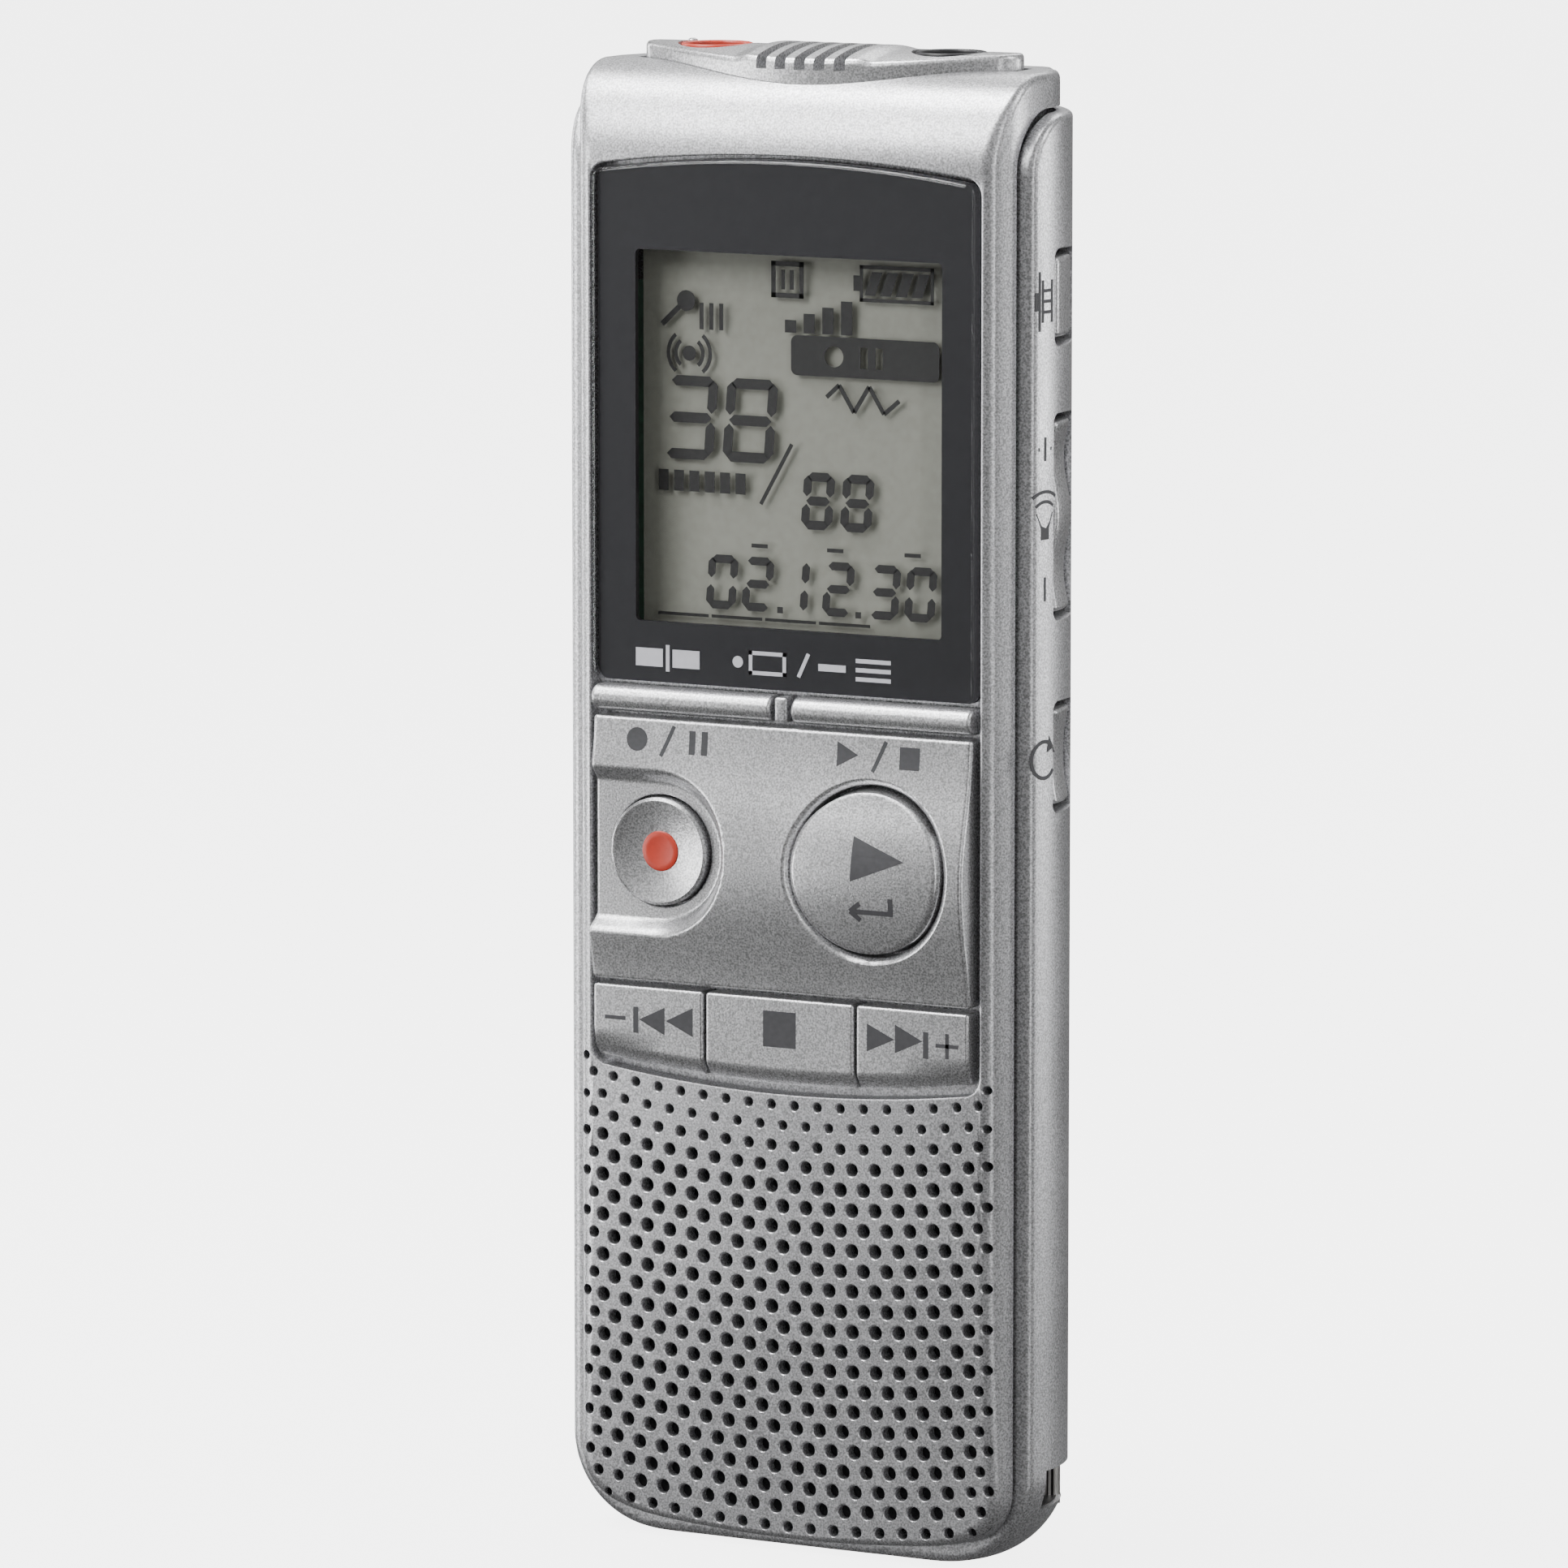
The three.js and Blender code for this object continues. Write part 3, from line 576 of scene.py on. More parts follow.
def speckled(name, color, roughness, metallic=0.0, spread=0.12, scale=2500, grain=0.1):
    """A surface whose colour and finish vary a little from place to place."""
    material, tree, shader = node_material(name)
    noise = object_noise(tree, scale)
    dark = [c * (1 - spread) for c in color]
    light = [min(c * (1 + spread), 1) for c in color]
    tint(tree, noise, shader.inputs["Base Color"], dark, light)
    put(shader, Roughness=roughness, Metallic=metallic)
    bump(tree, shader, noise, grain)
    return material


def metal_paint(name, color, roughness):
    """Silver paint: fine bright and dark flakes, and a finish that wanders slowly over the case."""
    material, tree, shader = node_material(name)
    flake = object_noise(tree, 7200, 1.0)
    cloud = object_noise(tree, 90)
    dark = [c * 0.62 for c in color]
    light = [min(c * 1.34, 1) for c in color]
    tint(tree, flake, shader.inputs["Base Color"], dark, light, 0.34, 0.68)
    tint(tree, cloud, shader.inputs["Roughness"], (roughness * 0.9,) * 3, (roughness * 1.12,) * 3)
    put(shader, Metallic=0.85)
    bump(tree, shader, flake, 0.35)
    return material


def clear_gloss(name):
    """Clear plastic: light passes straight through, under a sharp reflection on its outer side only."""
    material, tree, shader = node_material(name)
    tree.nodes.remove(shader)
    clear = add_node(tree, "BsdfTransparent", Color=(0.97, 0.97, 0.98, 1))
    gloss = add_node(tree, "BsdfGlossy")
    tint(tree, object_noise(tree, 60), gloss.inputs["Roughness"], (0.02,) * 3, (0.05,) * 3)
    outside = add_node(tree, "Math")
    outside.operation = "SUBTRACT"
    outside.use_clamp = True
    mix = add_node(tree, "MixShader")
    for start, end in (
        (add_node(tree, "Fresnel", IOR=1.45).outputs["Fac"], outside.inputs[0]),
        (add_node(tree, "NewGeometry").outputs["Backfacing"], outside.inputs[1]),
        (outside.outputs["Value"], mix.inputs["Fac"]),
        (clear.outputs["BSDF"], mix.inputs[1]),
        (gloss.outputs["BSDF"], mix.inputs[2]),
        (mix.outputs["Shader"], tree.nodes["Material Output"].inputs["Surface"]),
    ):
        tree.links.new(start, end)
    return material


SLOT_MATERIALS = {
    "silver_case": metal_paint("silver_paint", (0.57, 0.57, 0.585), 0.37),
    "silver_controls": metal_paint("silver_controls", (0.6, 0.6, 0.61), 0.33),
    "display_lens": speckled("window_print", (0.005, 0.005, 0.007), 0.5, 0, 0.1),
    "display_glass": speckled("display_panel", (0.31, 0.315, 0.26), 0.6, 0, 0.05, 1500, 0.05),
    "black_plastic": speckled("black_plastic", (0.014, 0.014, 0.016), 0.45, 0, 0.15),
    "red_plastic": speckled("red_plastic", (0.56, 0.05, 0.028), 0.38, 0, 0.06),
    "keypad_rubber": speckled("grey_rubber", (0.07, 0.07, 0.075), 0.8, 0, 0.1),
    "circuit_board": speckled("circuit_board", (0.012, 0.1, 0.04), 0.4, 0, 0.25, 900),
    "steel": speckled("steel", (0.56, 0.55, 0.53), 0.28, 1, 0.08, 1800),
    "cell_sleeve": speckled("cell_sleeve", (0.03, 0.07, 0.16), 0.3, 0.1, 0.08, 700),
    "speaker_cloth": speckled("speaker_cloth", (0.006, 0.006, 0.007), 0.9, 0, 0.5, 3000, 0.6),
}
CLEAR = clear_gloss("clear_window")
SEGMENT = speckled("display_segment", (0.02, 0.02, 0.018), 0.6, 0, 0.1)
WHITE_INK = speckled("white_ink", (0.75, 0.75, 0.77), 0.5, 0, 0.04)
GREY_INK = speckled("grey_ink", (0.055, 0.055, 0.06), 0.55, 0, 0.1)


def finish_piece(obj, slot, node=None, body="case", material=None):
    """Gives a piece its material, which is its slot's unless one is given, parents it to the body it rides
    on, and hides the CAD node it replaces.
    """
    obj.data.materials.clear()
    obj.data.materials.append(material or SLOT_MATERIALS[slot])
    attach(obj, body)
    if node:
        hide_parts(node)


def finish_control(obj, node, field):
    polish(obj, field)
    finish_piece(obj, "silver_controls", node, node)


# ---- Case ----
def face_levels():
    xs = levels(0, (13.65, 9), (17.15, 9), (FACE_HALF, 6))
    ds = levels(0, (0.5, 6), (5.3, 9), (11.5, 3), (17.5, 9))
    zs = levels(0.8, (1.3, 6), (5.3, 10), (24.65, 14), (99.8, 14), (105.9, 14), (106.4, 4))
    return mirror_levels(xs), ds, zs


def seam_cutter():
    """Everything that belongs to the rear shell, as a side view swept across."""
    front, top, r = 2.2, 103.9, 4.4
    corner = arc_points(front + r, top - r, r, 180, 90, 16)
    outline = np.concatenate([[[front, -5]], corner, [[25, top], [25, -5]]])
    return loft("seam_cutter", [edgewise(outline, -25), edgewise(outline, 25)])


def recess_outline():
    bottom = lambda x: smile(33.35, x)
    return panel(-RECESS_HALF, RECESS_HALF, bottom, lambda x: frown(100.3, x), 1.3, 24)


def recess_cutter():
    outline = recess_outline()
    wide = inset(outline, -0.16)
    lip = inset(outline, -0.05)
    rim = face_depth(outline[:, 0], outline[:, 1])
    loops = [facing(wide, rim - 3), facing(wide, rim), facing(lip, rim + 0.05), facing(outline, rim + 0.16)]
    return loft("recess_cutter", loops + [facing(outline, 1.5)])


def grille_holes():
    """Centre and radius of each grille hole: staggered rows on the shared arc, smaller at the edges."""
    holes = []
    for row in range(-10, 13):
        for column in range(-18, 19):
            edge = abs(column)
            if (column - row) % 2 or (row == -10 and edge != 18) or (row == 12 and edge > 16):
                continue
            size = {-10: 0.65, -9: 0.65, -8: 0.65, -7: 0.77, -6: 0.89, 12: 0.77}.get(row, 0.99)
            if edge >= 17 or (row >= 10 and edge >= 26 - row):
                size = min(size, 0.77)
            if row == 12 and edge == 16:
                size = 0.6
            x = column * HOLE_COLUMN - math.copysign({17: 0.18, 18: 0.45}.get(edge, 0), column)
            drop = {-10: 0.42, -8: 0.26}.get(row, 0) if edge == 18 else 0
            holes.append((x, smile(19.35 - HOLE_ROW * row - drop, x), size / 2))
    return holes


def grille_cutter():
    stacks = []
    for x, z, r in grille_holes():
        mouth = face_depth(x, z)
        steps = [(0.13, -0.5), (0.13, -0.01), (0.08, 0.02), (0.03, 0.07), (0, 0.16)]
        loops = [facing(circle(x, z, r + extra, 20), mouth + depth) for extra, depth in steps]
        stacks.append(loops + [facing(circle(x, z, r, 20), 3.0)])
    return lofts("grille_cutter", stacks)


def cap_plan(clearance):
    """The outline of the top cap from above, widened by a clearance."""
    offset = CAP_ROUND - CAP_REACH
    r = CAP_ROUND + clearance
    sweep = math.degrees(math.asin((CAP_HALF + clearance) / r))
    fore = arc_points(0, CAP_DEPTH + offset, r, -90 - sweep, -90 + sweep, 32)
    aft = arc_points(0, CAP_DEPTH - offset, r, 90 - sweep, 90 + sweep, 32)
    return np.concatenate([fore, aft])


def build_front_shell():
    shell = field_solid("front_shell_skin", front_field, *face_levels())
    carve(shell, seam_cutter())
    carve(shell, recess_cutter())
    carve(shell, slab("window_cutter", plain_panel(-13.2, 13.2, 65, 95, 0.5), 1, 4))
    carve(shell, grille_cutter())
    behind = panel(-16.9, 16.9, lambda x: 2.2, lambda x: smile(32.9, x), 3)
    carve(shell, slab("grille_pocket", behind, CLOTH_FRONT - 0.05, 4))
    carve(shell, post("pocket_cutter", cap_plan(0.2), CAP_FOOT - 0.1, 112))
    for x in (-JACK_X, JACK_X):
        carve(shell, post("jack_cutter", circle(x, CAP_DEPTH, 2.85), 100, 105))
    polish(shell, front_field)
    finish_piece(shell, "silver_case", "front_shell")


def build_bridge():
    """The bit of the front shell that shows between the two bars."""
    outline = plain_panel(-0.5, 0.5, BAR_HEIGHT - 0.9, BAR_HEIGHT + 0.9, 0.2)
    finish_piece(even(tile("bar_bridge", outline, -0.35, 1.6, 0.2)), "silver_case")


def rear_levels():
    xs = mirror_levels(levels(0, (8, 5), (SIDE, 30)))
    ds = levels(SEAM, (SEAM + 0.45, 6), (7, 9), (CASE_DEPTH, 26))
    zs = levels(0, (6.8, 18), (97.5, 16), (103.15, 16), (103.6, 6))
    return xs, ds, zs


def hollow_cutter():
    """The inside of the rear shell, less the screw bosses and the block round the strap eye."""
    xs = mirror_levels(levels(0, (8, 4), (17.9, 16)))
    ds = levels(-1, (2, 2), (CASE_DEPTH - WALL, 24))
    zs = levels(WALL, (6.8, 12), (97.5, 6), (106.9, 12))
    hollow = field_solid("hollow_cutter", rear_hollow, xs, ds, zs)
    for x, z, _ in SCREWS:
        carve(hollow, slab("boss", circle(x, z, 2.6), 7.8, 25))
    carve(hollow, slab("eye_block", plain_panel(13.2, 21, -2, 8.3, 0.5), 3.4, 15.5))
    return hollow


def side_slot_cutter(bottom, top, front, back, sign=1):
    """A slot through the right wall, or the left one for a sign of -1, with a flared mouth."""
    outline = plain_panel(front, back, bottom, top, 0.5)
    mouth = inset(outline, -0.25)
    loops = [edgewise(outline, sign * 16), edgewise(outline, sign * 18.1)]
    loops += [edgewise(mouth, sign * 19.3), edgewise(mouth, sign * 21)]
    return loft("slot_cutter", loops)


def build_rear_shell():
    shell = field_solid("rear_shell_skin", rear_field, *rear_levels())
    carve(shell, hollow_cutter())
    bay = plain_panel(-12.7, 12.7, COVER[0] - 0.3, COVER[1] + 0.3, 0.6)
    carve(shell, slab("bay_cutter", bay, 12, 22))
    for (bottom, top), gap in ((ERASE, 0.3), (VOLUME, 0.35), (REPEAT, 0.3)):
        front, back = SIDE_FACE[0] - gap, SIDE_FACE[1] + gap
        carve(shell, side_slot_cutter(bottom - 0.4, top + 0.4, front, back))
    carve(shell, side_slot_cutter(70.2, 80.2, 5.5, 8.5, -1))
    for x, z, seat in SCREWS:
        carve(shell, loft("seat_cutter", [facing(circle(x, z, 1.9), seat), facing(circle(x, z, 2.1), 22)]))
    eye = plain_panel(EYE["inner"], 22, EYE["bottom"], EYE["top"], 0.3)
    carve(shell, slab("eye_cutter", eye, EYE["front"], 22))
    polish(shell, rear_field)
    finish_piece(shell, "silver_case", "rear_shell")


def build_eye_painted_shade():
    """Painted shade in the strap eye: a dark sheet set in from the skin, standing in for the shade inside the
    opening.
    """
    eye_shade = field_solid("strap_eye_painted_shade", lambda x, d, z: rear_field(x, d, z) + 0.35, *rear_levels())
    wide = plain_panel(EYE["inner"] - 0.3, 22, EYE["bottom"] - 0.3, EYE["top"] + 0.3, 0.4)
    carve(eye_shade, slab("eye_shade_block", wide, EYE["front"] - 0.3, 15.4), "INTERSECT")
    narrow = plain_panel(EYE["inner"] + 0.08, 22, EYE["bottom"] + 0.08, EYE["top"] - 0.08, 0.3)
    carve(eye_shade, slab("eye_shade_hole", narrow, EYE["front"] + 0.08, 22))
    # the black plastic here is painted shade inside the strap eye's opening, not a part of its own
    finish_piece(even(eye_shade), "silver_case", material=SLOT_MATERIALS["black_plastic"])


def cover_plan(half):
    """The battery cover from above: the wall's wide arc and its mirror image, one wall thick."""
    turns = np.linspace(math.pi / 2, 0, 60)
    outer = [(WIDE[0] + WIDE[2] * math.cos(t), WIDE[1] + WIDE[2] * math.sin(t)) for t in turns]
    edge = (half, WIDE[1] + math.sqrt(WIDE[2] ** 2 - (half - WIDE[0]) ** 2))
    outer = np.array([p for p in outer if p[0] < half - 0.15] + [edge])
    radial = outer - [WIDE[0], WIDE[1]]
    inner = outer - radial / np.linalg.norm(radial, axis=1, keepdims=True) * WALL
    return np.concatenate([outer[::-1], (outer * [-1, 1])[1:], (inner * [-1, 1])[::-1], inner[1:]])


def build_battery_cover():
    outline = cover_plan(12.4)
    trims = [(0, 0.12), (0.04, 0.04), (0.12, 0)]
    loops = [level(inset(outline, t), COVER[0] + h) for h, t in trims]
    loops += [level(inset(outline, t), COVER[1] - h) for h, t in trims[::-1]]
    cover = loft("battery_cover_skin", loops)
    for height in np.linspace(78.6, 82.6, 5):
        groove = plain_panel(-4, 4, height, height + 0.45, 0.2)
        mouth = inset(groove, -0.1)
        carve(cover, loft("groove", [facing(groove, 18.1), facing(mouth, 18.41), facing(mouth, 20)]))
    carve(cover, slab("arrow", polygon((-2.2, 76.6), (0, 74.2), (2.2, 76.6)), 18.15, 20))
    polish(cover, cover_field)
    finish_piece(cover, "silver_case", "battery_cover", "battery_cover")


# ---- Top ----
def build_top_cap():
    xs = mirror_levels(levels(0, (4.2, 6), (5.7, 8), (12, 8), (CAP_HALF, 12)))
    ds = levels(CAP_DEPTH - CAP_REACH, (4, 5), (11.3, 10), (CAP_DEPTH + CAP_REACH, 5))
    zs = levels(CAP_FOOT, (105.5, 1), (CAP_TOP, 10))
    cap = field_solid("top_cap_skin", cap_field, xs, ds, zs)
    for x in np.linspace(-3.12, 3.12, 5):
        slot = plain_panel(x - 0.43, x + 0.43, 0, 9.6, 0.4)
        loops = [level(slot, height) for height in (106.2, 106.9, 107.2)]
        carve(cap, loft("slot_cutter", loops + [level(inset(slot, -0.1), 108.5)]))
    for x in (-JACK_X, JACK_X):
        carve(cap, post("jack_cutter", circle(x, CAP_DEPTH, 2.82, 48), 104, 110))
    polish(cap, cap_field)
    paint = SLOT_MATERIALS["silver_controls"]
    finish_piece(cap, "silver_case", "top_cap", material=paint)
    rounds = ((0.4, 107.3), (0.35, 107.58), (0.18, 107.68))
    dot = loft("tactile_dot", [level(circle(-12.1, 8.9, r, 16), z) for r, z in rounds])
    finish_piece(even(dot, 80), "silver_case", material=paint)


def tube(name, x, rounds):
    """A closed tube round a jack's axis, from (radius, height) pairs."""
    sides = 48
    loops = [level(circle(x, CAP_DEPTH, r, sides), z) for r, z in rounds]
    faces = []
    for a in range(len(loops)):
        faces += band(a * sides, (a + 1) % len(loops) * sides, sides)
    return outward(new_object(name, np.concatenate(loops), faces))


def build_jack_ring(node, x, slot):
    outer = [(2.6, 103.5), (2.6, 107.35), (2.53, 107.5), (2.42, 107.54)]
    inner = [(2.25, 107.5), (2.15, 107.35), (2.15, 103.5)]
    finish_piece(even(tube(node + "_skin", x, outer + inner), 50), slot, node)
    lining = [(2.15, 103.5), (2.15, 107.2), (1.95, 107.1), (1.86, 106.8), (1.86, 103.5)]
    finish_piece(even(tube(node + "_liner", x, lining), 50), "black_plastic")


# ---- Front controls ----
def build_lens():
    outline = panel(-LENS_HALF, LENS_HALF, lambda x: 62.25, lambda x: frown(100.0, x), 0.9, 24)
    clear = tile("lens_clear", outline, LENS_FRONT, PRINT_DEPTH - 0.05, 0.35)
    finish_piece(even(clear), "display_lens", "display_lens", material=CLEAR)
    sheet = slab("lens_print", outline, PRINT_DEPTH, CONTROL_BACK)
    carve(sheet, slab("print_cutter", plain_panel(-12.3, 12.3, 66.6, 93.2, 0.35), 0, 2))
    finish_piece(even(sheet), "display_lens")
    glass = tile("display_panel", plain_panel(-13.1, 13.1, 65.1, 94.9, 0.2), 3.3, 3.9, 0.05)
    finish_piece(even(glass), "display_glass", "display_glass")


def build_bars():
    for node, middle, half in (("divide_key", -8.05, 7.25), ("menu_key", 8.05, 7.15)):
        field = bar_field(middle, half)
        xs = middle + mirror_levels(levels(0, (half - 0.3, 3), (half, 5)))
        ds = levels(-0.6, (0.35, 12), (CONTROL_BACK, 2))
        zs = levels(BAR_HEIGHT - BAR_RADIUS, (BAR_HEIGHT + BAR_RADIUS, 16))
        finish_control(field_solid(node + "_skin", field, xs, ds, zs), node, field)


def disc_cutter(name, centre, r, flare, deep, lift):
    """A round cutter whose flared mouth follows a bulged face. lift gives that face's depth at a height."""
    sides = 72
    loops = []
    for extra, depth in ((flare, -3), (flare, 0.0), (flare * 0.45, flare * 0.3), (0, flare)):
        ring = circle(*centre, r + extra, sides)
        loops.append(facing(ring, lift(ring[:, 1]) + depth))
    return loft(name, loops + [facing(circle(*centre, r, sides), deep)])


def build_control_plate():
    half, low, high = PLATE["half"], PLATE["bottom"], PLATE["top"]
    xs = levels(-half, (-half + 0.3, 4), (-3.5, 56), (half - 0.3, 26), (half, 4))
    zs = edged(low, high, 0.3, 4, 84)
    ds = levels(0, (0.2, 4), (1, 2))

    def follow(points):
        front = plate_depth(points[:, 0], points[:, 2])
        points[:, 1] = front + points[:, 1] * (CONTROL_BACK - front)
        return points

    plate = field_solid("control_plate_skin", plate_field, xs, ds, zs, follow)
    carve(plate, disc_cutter("play_cutter", PLAY, PLAY_RADIUS + 0.15, 0.5, 3, plate_front))
    floor = lambda z: 0.05 + 0 * z
    carve(plate, disc_cutter("record_cutter", RECORD, RECORD_RADIUS + 0.15, 0.12, 3, floor))
    polish(plate, plate_field)
    finish_piece(plate, "silver_controls", "control_plate")


def round_button(node, field, centre, r, front):
    """A round button from rings of points settled onto its field."""
    sides = 64
    rings = [(0, 0.5), (0.05, 0.3), (0.12, 0.18), (0.22, 0.08), (0.35, 0.02), (0.5, 0)]
    loops = [facing(circle(*centre, r, sides), depth) for depth in (CONTROL_BACK, front + 0.8)]
    loops += [facing(circle(*centre, r - back, sides), front + lift) for back, lift in rings]
    loops += [facing(circle(*centre, part * (r - 0.6), sides), front) for part in np.linspace(0.97, 0.05, 14)]
    button = loft(node + "_skin", loops)
    mesh = button.data
    points = gather(mesh.vertices, "co") / MM - [0, FRONT_Y, 0]
    cap = points[:, 1] < CONTROL_BACK - 0.1
    points[cap] = settle(field, points[cap])
    mesh.vertices.foreach_set("co", place(points).ravel())
    mesh.update()
    finish_control(button, node, field)


def build_buttons():
    round_button("play_button", play_field, PLAY, PLAY_RADIUS, -2.2)
    round_button("record_button", record_field, RECORD, RECORD_RADIUS, RECORD_FRONT)
    profile = [(1.45, 0.1), (1.45, -0.16), (1.38, -0.21), (1.0, -0.17), (0.5, -0.12), (0.1, -0.11)]
    dot = loft("record_dot_skin", [facing(circle(*RECORD, r, 40), d) for r, d in profile])
    finish_piece(even(dot, 60), "red_plastic", "record_dot", "record_button")


def build_lower_keys():
    for node, left, right in (
        ("previous_key", -15.15, -6.2),
        ("stop_key", -5.98, 5.98),
        ("next_key", 6.2, 15.15),
    ):
        field = key_field(left, right)
        xs = edged(left, right, 0.3, 5, 8)
        ds = levels(KEY_FRONT, (KEY_FRONT + 0.25, 5), (CONTROL_BACK, 3))
        zs = levels(KEY_BOTTOM, (34.8, 4), (35.8, 8), (40.1, 3), (KEY_TOP, 5))
        finish_control(field_solid(node + "_skin", field, xs, ds, zs), node, field)


def even_face(z):
    return 0.12 + 0 * z


def waved_face(z):
    """Three low humps along the volume rocker."""
    return 0.28 - 0.24 * np.cos((z - sum(VOLUME) / 2) * 2 * math.pi / 7.9)


def hollow_face(z):
    return 0.5 - 0.38 * np.minimum(np.abs(z - sum(REPEAT) / 2) / 3.2, 1) ** 2


def build_side_buttons():
    for node, span, shape in (
        ("erase_button", ERASE, even_face),
        ("volume_rocker", VOLUME, waved_face),
        ("repeat_button", REPEAT, hollow_face),
    ):
        field = side_button_field(*span, shape)
        xs = levels(17, (18.6, 3), (SIDE, 6))
        ds = edged(*SIDE_FACE, 0.45, 5, 6)
        zs = edged(*span, 0.45, 5, 30)
        finish_control(field_solid(node + "_skin", field, xs, ds, zs), node, field)


def build_hold_slider():
    outline = plain_panel(5.8, 8.2, 71, 75.4, 0.4)
    steps = [(0, -16.9), (0, -18.8), (0.06, -18.95), (0.2, -19.02)]
    slider = loft("hold_slider_skin", [edgewise(inset(outline, trim), x) for trim, x in steps])
    for height in np.linspace(71.9, 74.1, 4):
        groove = plain_panel(5, 9, height, height + 0.4, 0.1)
        carve(slider, loft("groove", [edgewise(groove, -18.75), edgewise(groove, -20)]))
    finish_piece(even(slider), "silver_controls", "hold_slider", "hold_slider")


def build_cloth():
    outline = panel(-16.8, 16.8, lambda x: 2.3, lambda x: smile(32.8, x), 3)
    sheet = slab("grille_cloth_sheet", outline, CLOTH_FRONT, CLOTH_FRONT + 0.4)
    finish_piece(even(sheet), "speaker_cloth", "grille_cloth")


# ---- Printed marks ----
LIT = {0: "abcdef", 1: "bc", 2: "abged", 3: "abgcd", 8: "abcdefg"}


def rect(cx, cz, width, height, slant=0.0):
    w, h, s = width / 2, height / 2, slant * height / 2
    return np.array([[cx - w - s, cz - h], [cx + w - s, cz - h], [cx + w + s, cz + h], [cx - w + s, cz + h]])


def stroke(x0, z0, x1, z1, width):
    along = np.array([x1 - x0, z1 - z0], float)
    along /= np.linalg.norm(along)
    side = np.array([-along[1], along[0]]) * width / 2
    a, b = np.array([x0, z0]), np.array([x1, z1])
    return np.array([a - side, b - side, b + side, a + side])


def ring_marks(cx, cz, r, width, start=0, end=360, count=24):
    turns = np.radians(np.linspace(start, end, count + 1))
    marks = []
    for a, b in zip(turns[:-1], turns[1:]):
        pairs = [(r - width / 2, a), (r + width / 2, a), (r + width / 2, b), (r - width / 2, b)]
        marks.append(np.array([[cx + q * math.cos(t), cz + q * math.sin(t)] for q, t in pairs]))
    return marks


def frame_marks(cx, cz, width, height, line):
    out, up = (width - line) / 2, (height - line) / 2
    marks = [rect(cx, cz + z, width, line) for z in (-up, up)]
    return marks + [rect(cx + x, cz, line, height) for x in (-out, out)]


def pointed_bar(start, end, across, tip):
    """A bar along the first axis, with a point at each end."""
    near = [(start, across), (start + tip, across - tip), (end - tip, across - tip)]
    far = [(end, across), (end - tip, across + tip), (start + tip, across + tip)]
    return polygon(*near, *far)


def seven_segment(x, z, width, height, digit, line):
    """The lit segments of one digit, from its lower left corner, leaning a little to the right."""
    half, tip, gap = height / 2, line / 2, line * 0.46
    left, right = x + tip, x + width - tip
    lying = {"a": z + height - tip, "g": z + half, "d": z + tip}
    upright = {"f": (left, z + half), "b": (right, z + half), "e": (left, z), "c": (right, z)}
    shapes = []
    for name in LIT[digit]:
        if name in lying:
            shapes.append(pointed_bar(x + gap, x + width - gap, lying[name], tip))
        else:
            across, low = upright[name]
            shapes.append(pointed_bar(low + gap, low + half - line * 0.36, across, tip)[::-1, ::-1])
    return [shape + np.stack([0.08 * (shape[:, 1] - z), 0 * shape[:, 1]], 1) for shape in shapes]


def laid(name, shapes, surface, above):
    """Flat shapes cut into narrow bands, so that they follow a curved surface, a little above it."""
    band, thick = 0.25, 0.05
    obj = lofts(name, [[facing(shape, 0.0), facing(shape, -1.0)] for shape in shapes])
    bm = bmesh.new()
    bm.from_mesh(obj.data)
    tall = [v.co.z for v in bm.verts]
    for height in np.arange(min(tall), max(tall), band * MM)[1:]:
        everything = bm.verts[:] + bm.edges[:] + bm.faces[:]
        bmesh.ops.bisect_plane(bm, geom=everything, plane_co=(0, 0, height), plane_no=(0, 0, 1))
    for vertex in bm.verts:
        x, z = vertex.co.x / MM, vertex.co.z / MM
        raised = vertex.co.y < (FRONT_Y - 0.5) * MM
        near = surface(np.array([x]), np.array([z]))[0] - above
        vertex.co.y = (FRONT_Y + near + (0 if raised else thick)) * MM
    bm.to_mesh(obj.data)
    bm.free()
    return obj


def flat_ink(name, shapes, depth, material, slot, body="case", thick=0.03):
    obj = lofts(name, [[facing(shape, depth + thick), facing(shape, depth)] for shape in shapes])
    finish_piece(obj, slot, None, body, material)


def lcd_icons():
    top = 91.3
    marks = frame_marks(-1.15, top, 2.6, 2.6, 0.35) + [rect(x, top, 0.3, 1.4) for x in (-1.5, -0.8)]
    marks += frame_marks(7.6, top, 5.9, 2.6, 0.26) + [rect(4.4, top, 0.5, 1.1)]
    marks += [rect(5.75 + 1.25 * i, top, 0.85, 1.7, 0.35) for i in range(4)]
    marks += [stroke(-11.3, 87.7, -9.9, 89.0, 0.4), circle(-9.35, 89.45, 0.75, 16)]
    marks += [rect(-8.1 + 0.8 * i, 88.4, 0.32, 1.9) for i in range(3)]
    marks += [rect(-0.9 + 1.5 * i, 88.0 + 0.25 * i, 0.9, 0.9 + 0.5 * i) for i in range(4)]
    marks += [circle(-9.1, 85.7, 0.55, 16)]
    for r in (1.1, 1.7):
        for start in (-50, 130):
            marks += ring_marks(-9.1, 85.7, r, 0.28, start, start + 100, 10)
    wave = [(2.0, 83.1), (3.0, 84.0), (4.2, 82.1), (5.4, 84.0), (6.6, 82.1), (7.8, 83.1)]
    return marks + [stroke(*a, *b, 0.32) for a, b in zip(wave[:-1], wave[1:])]


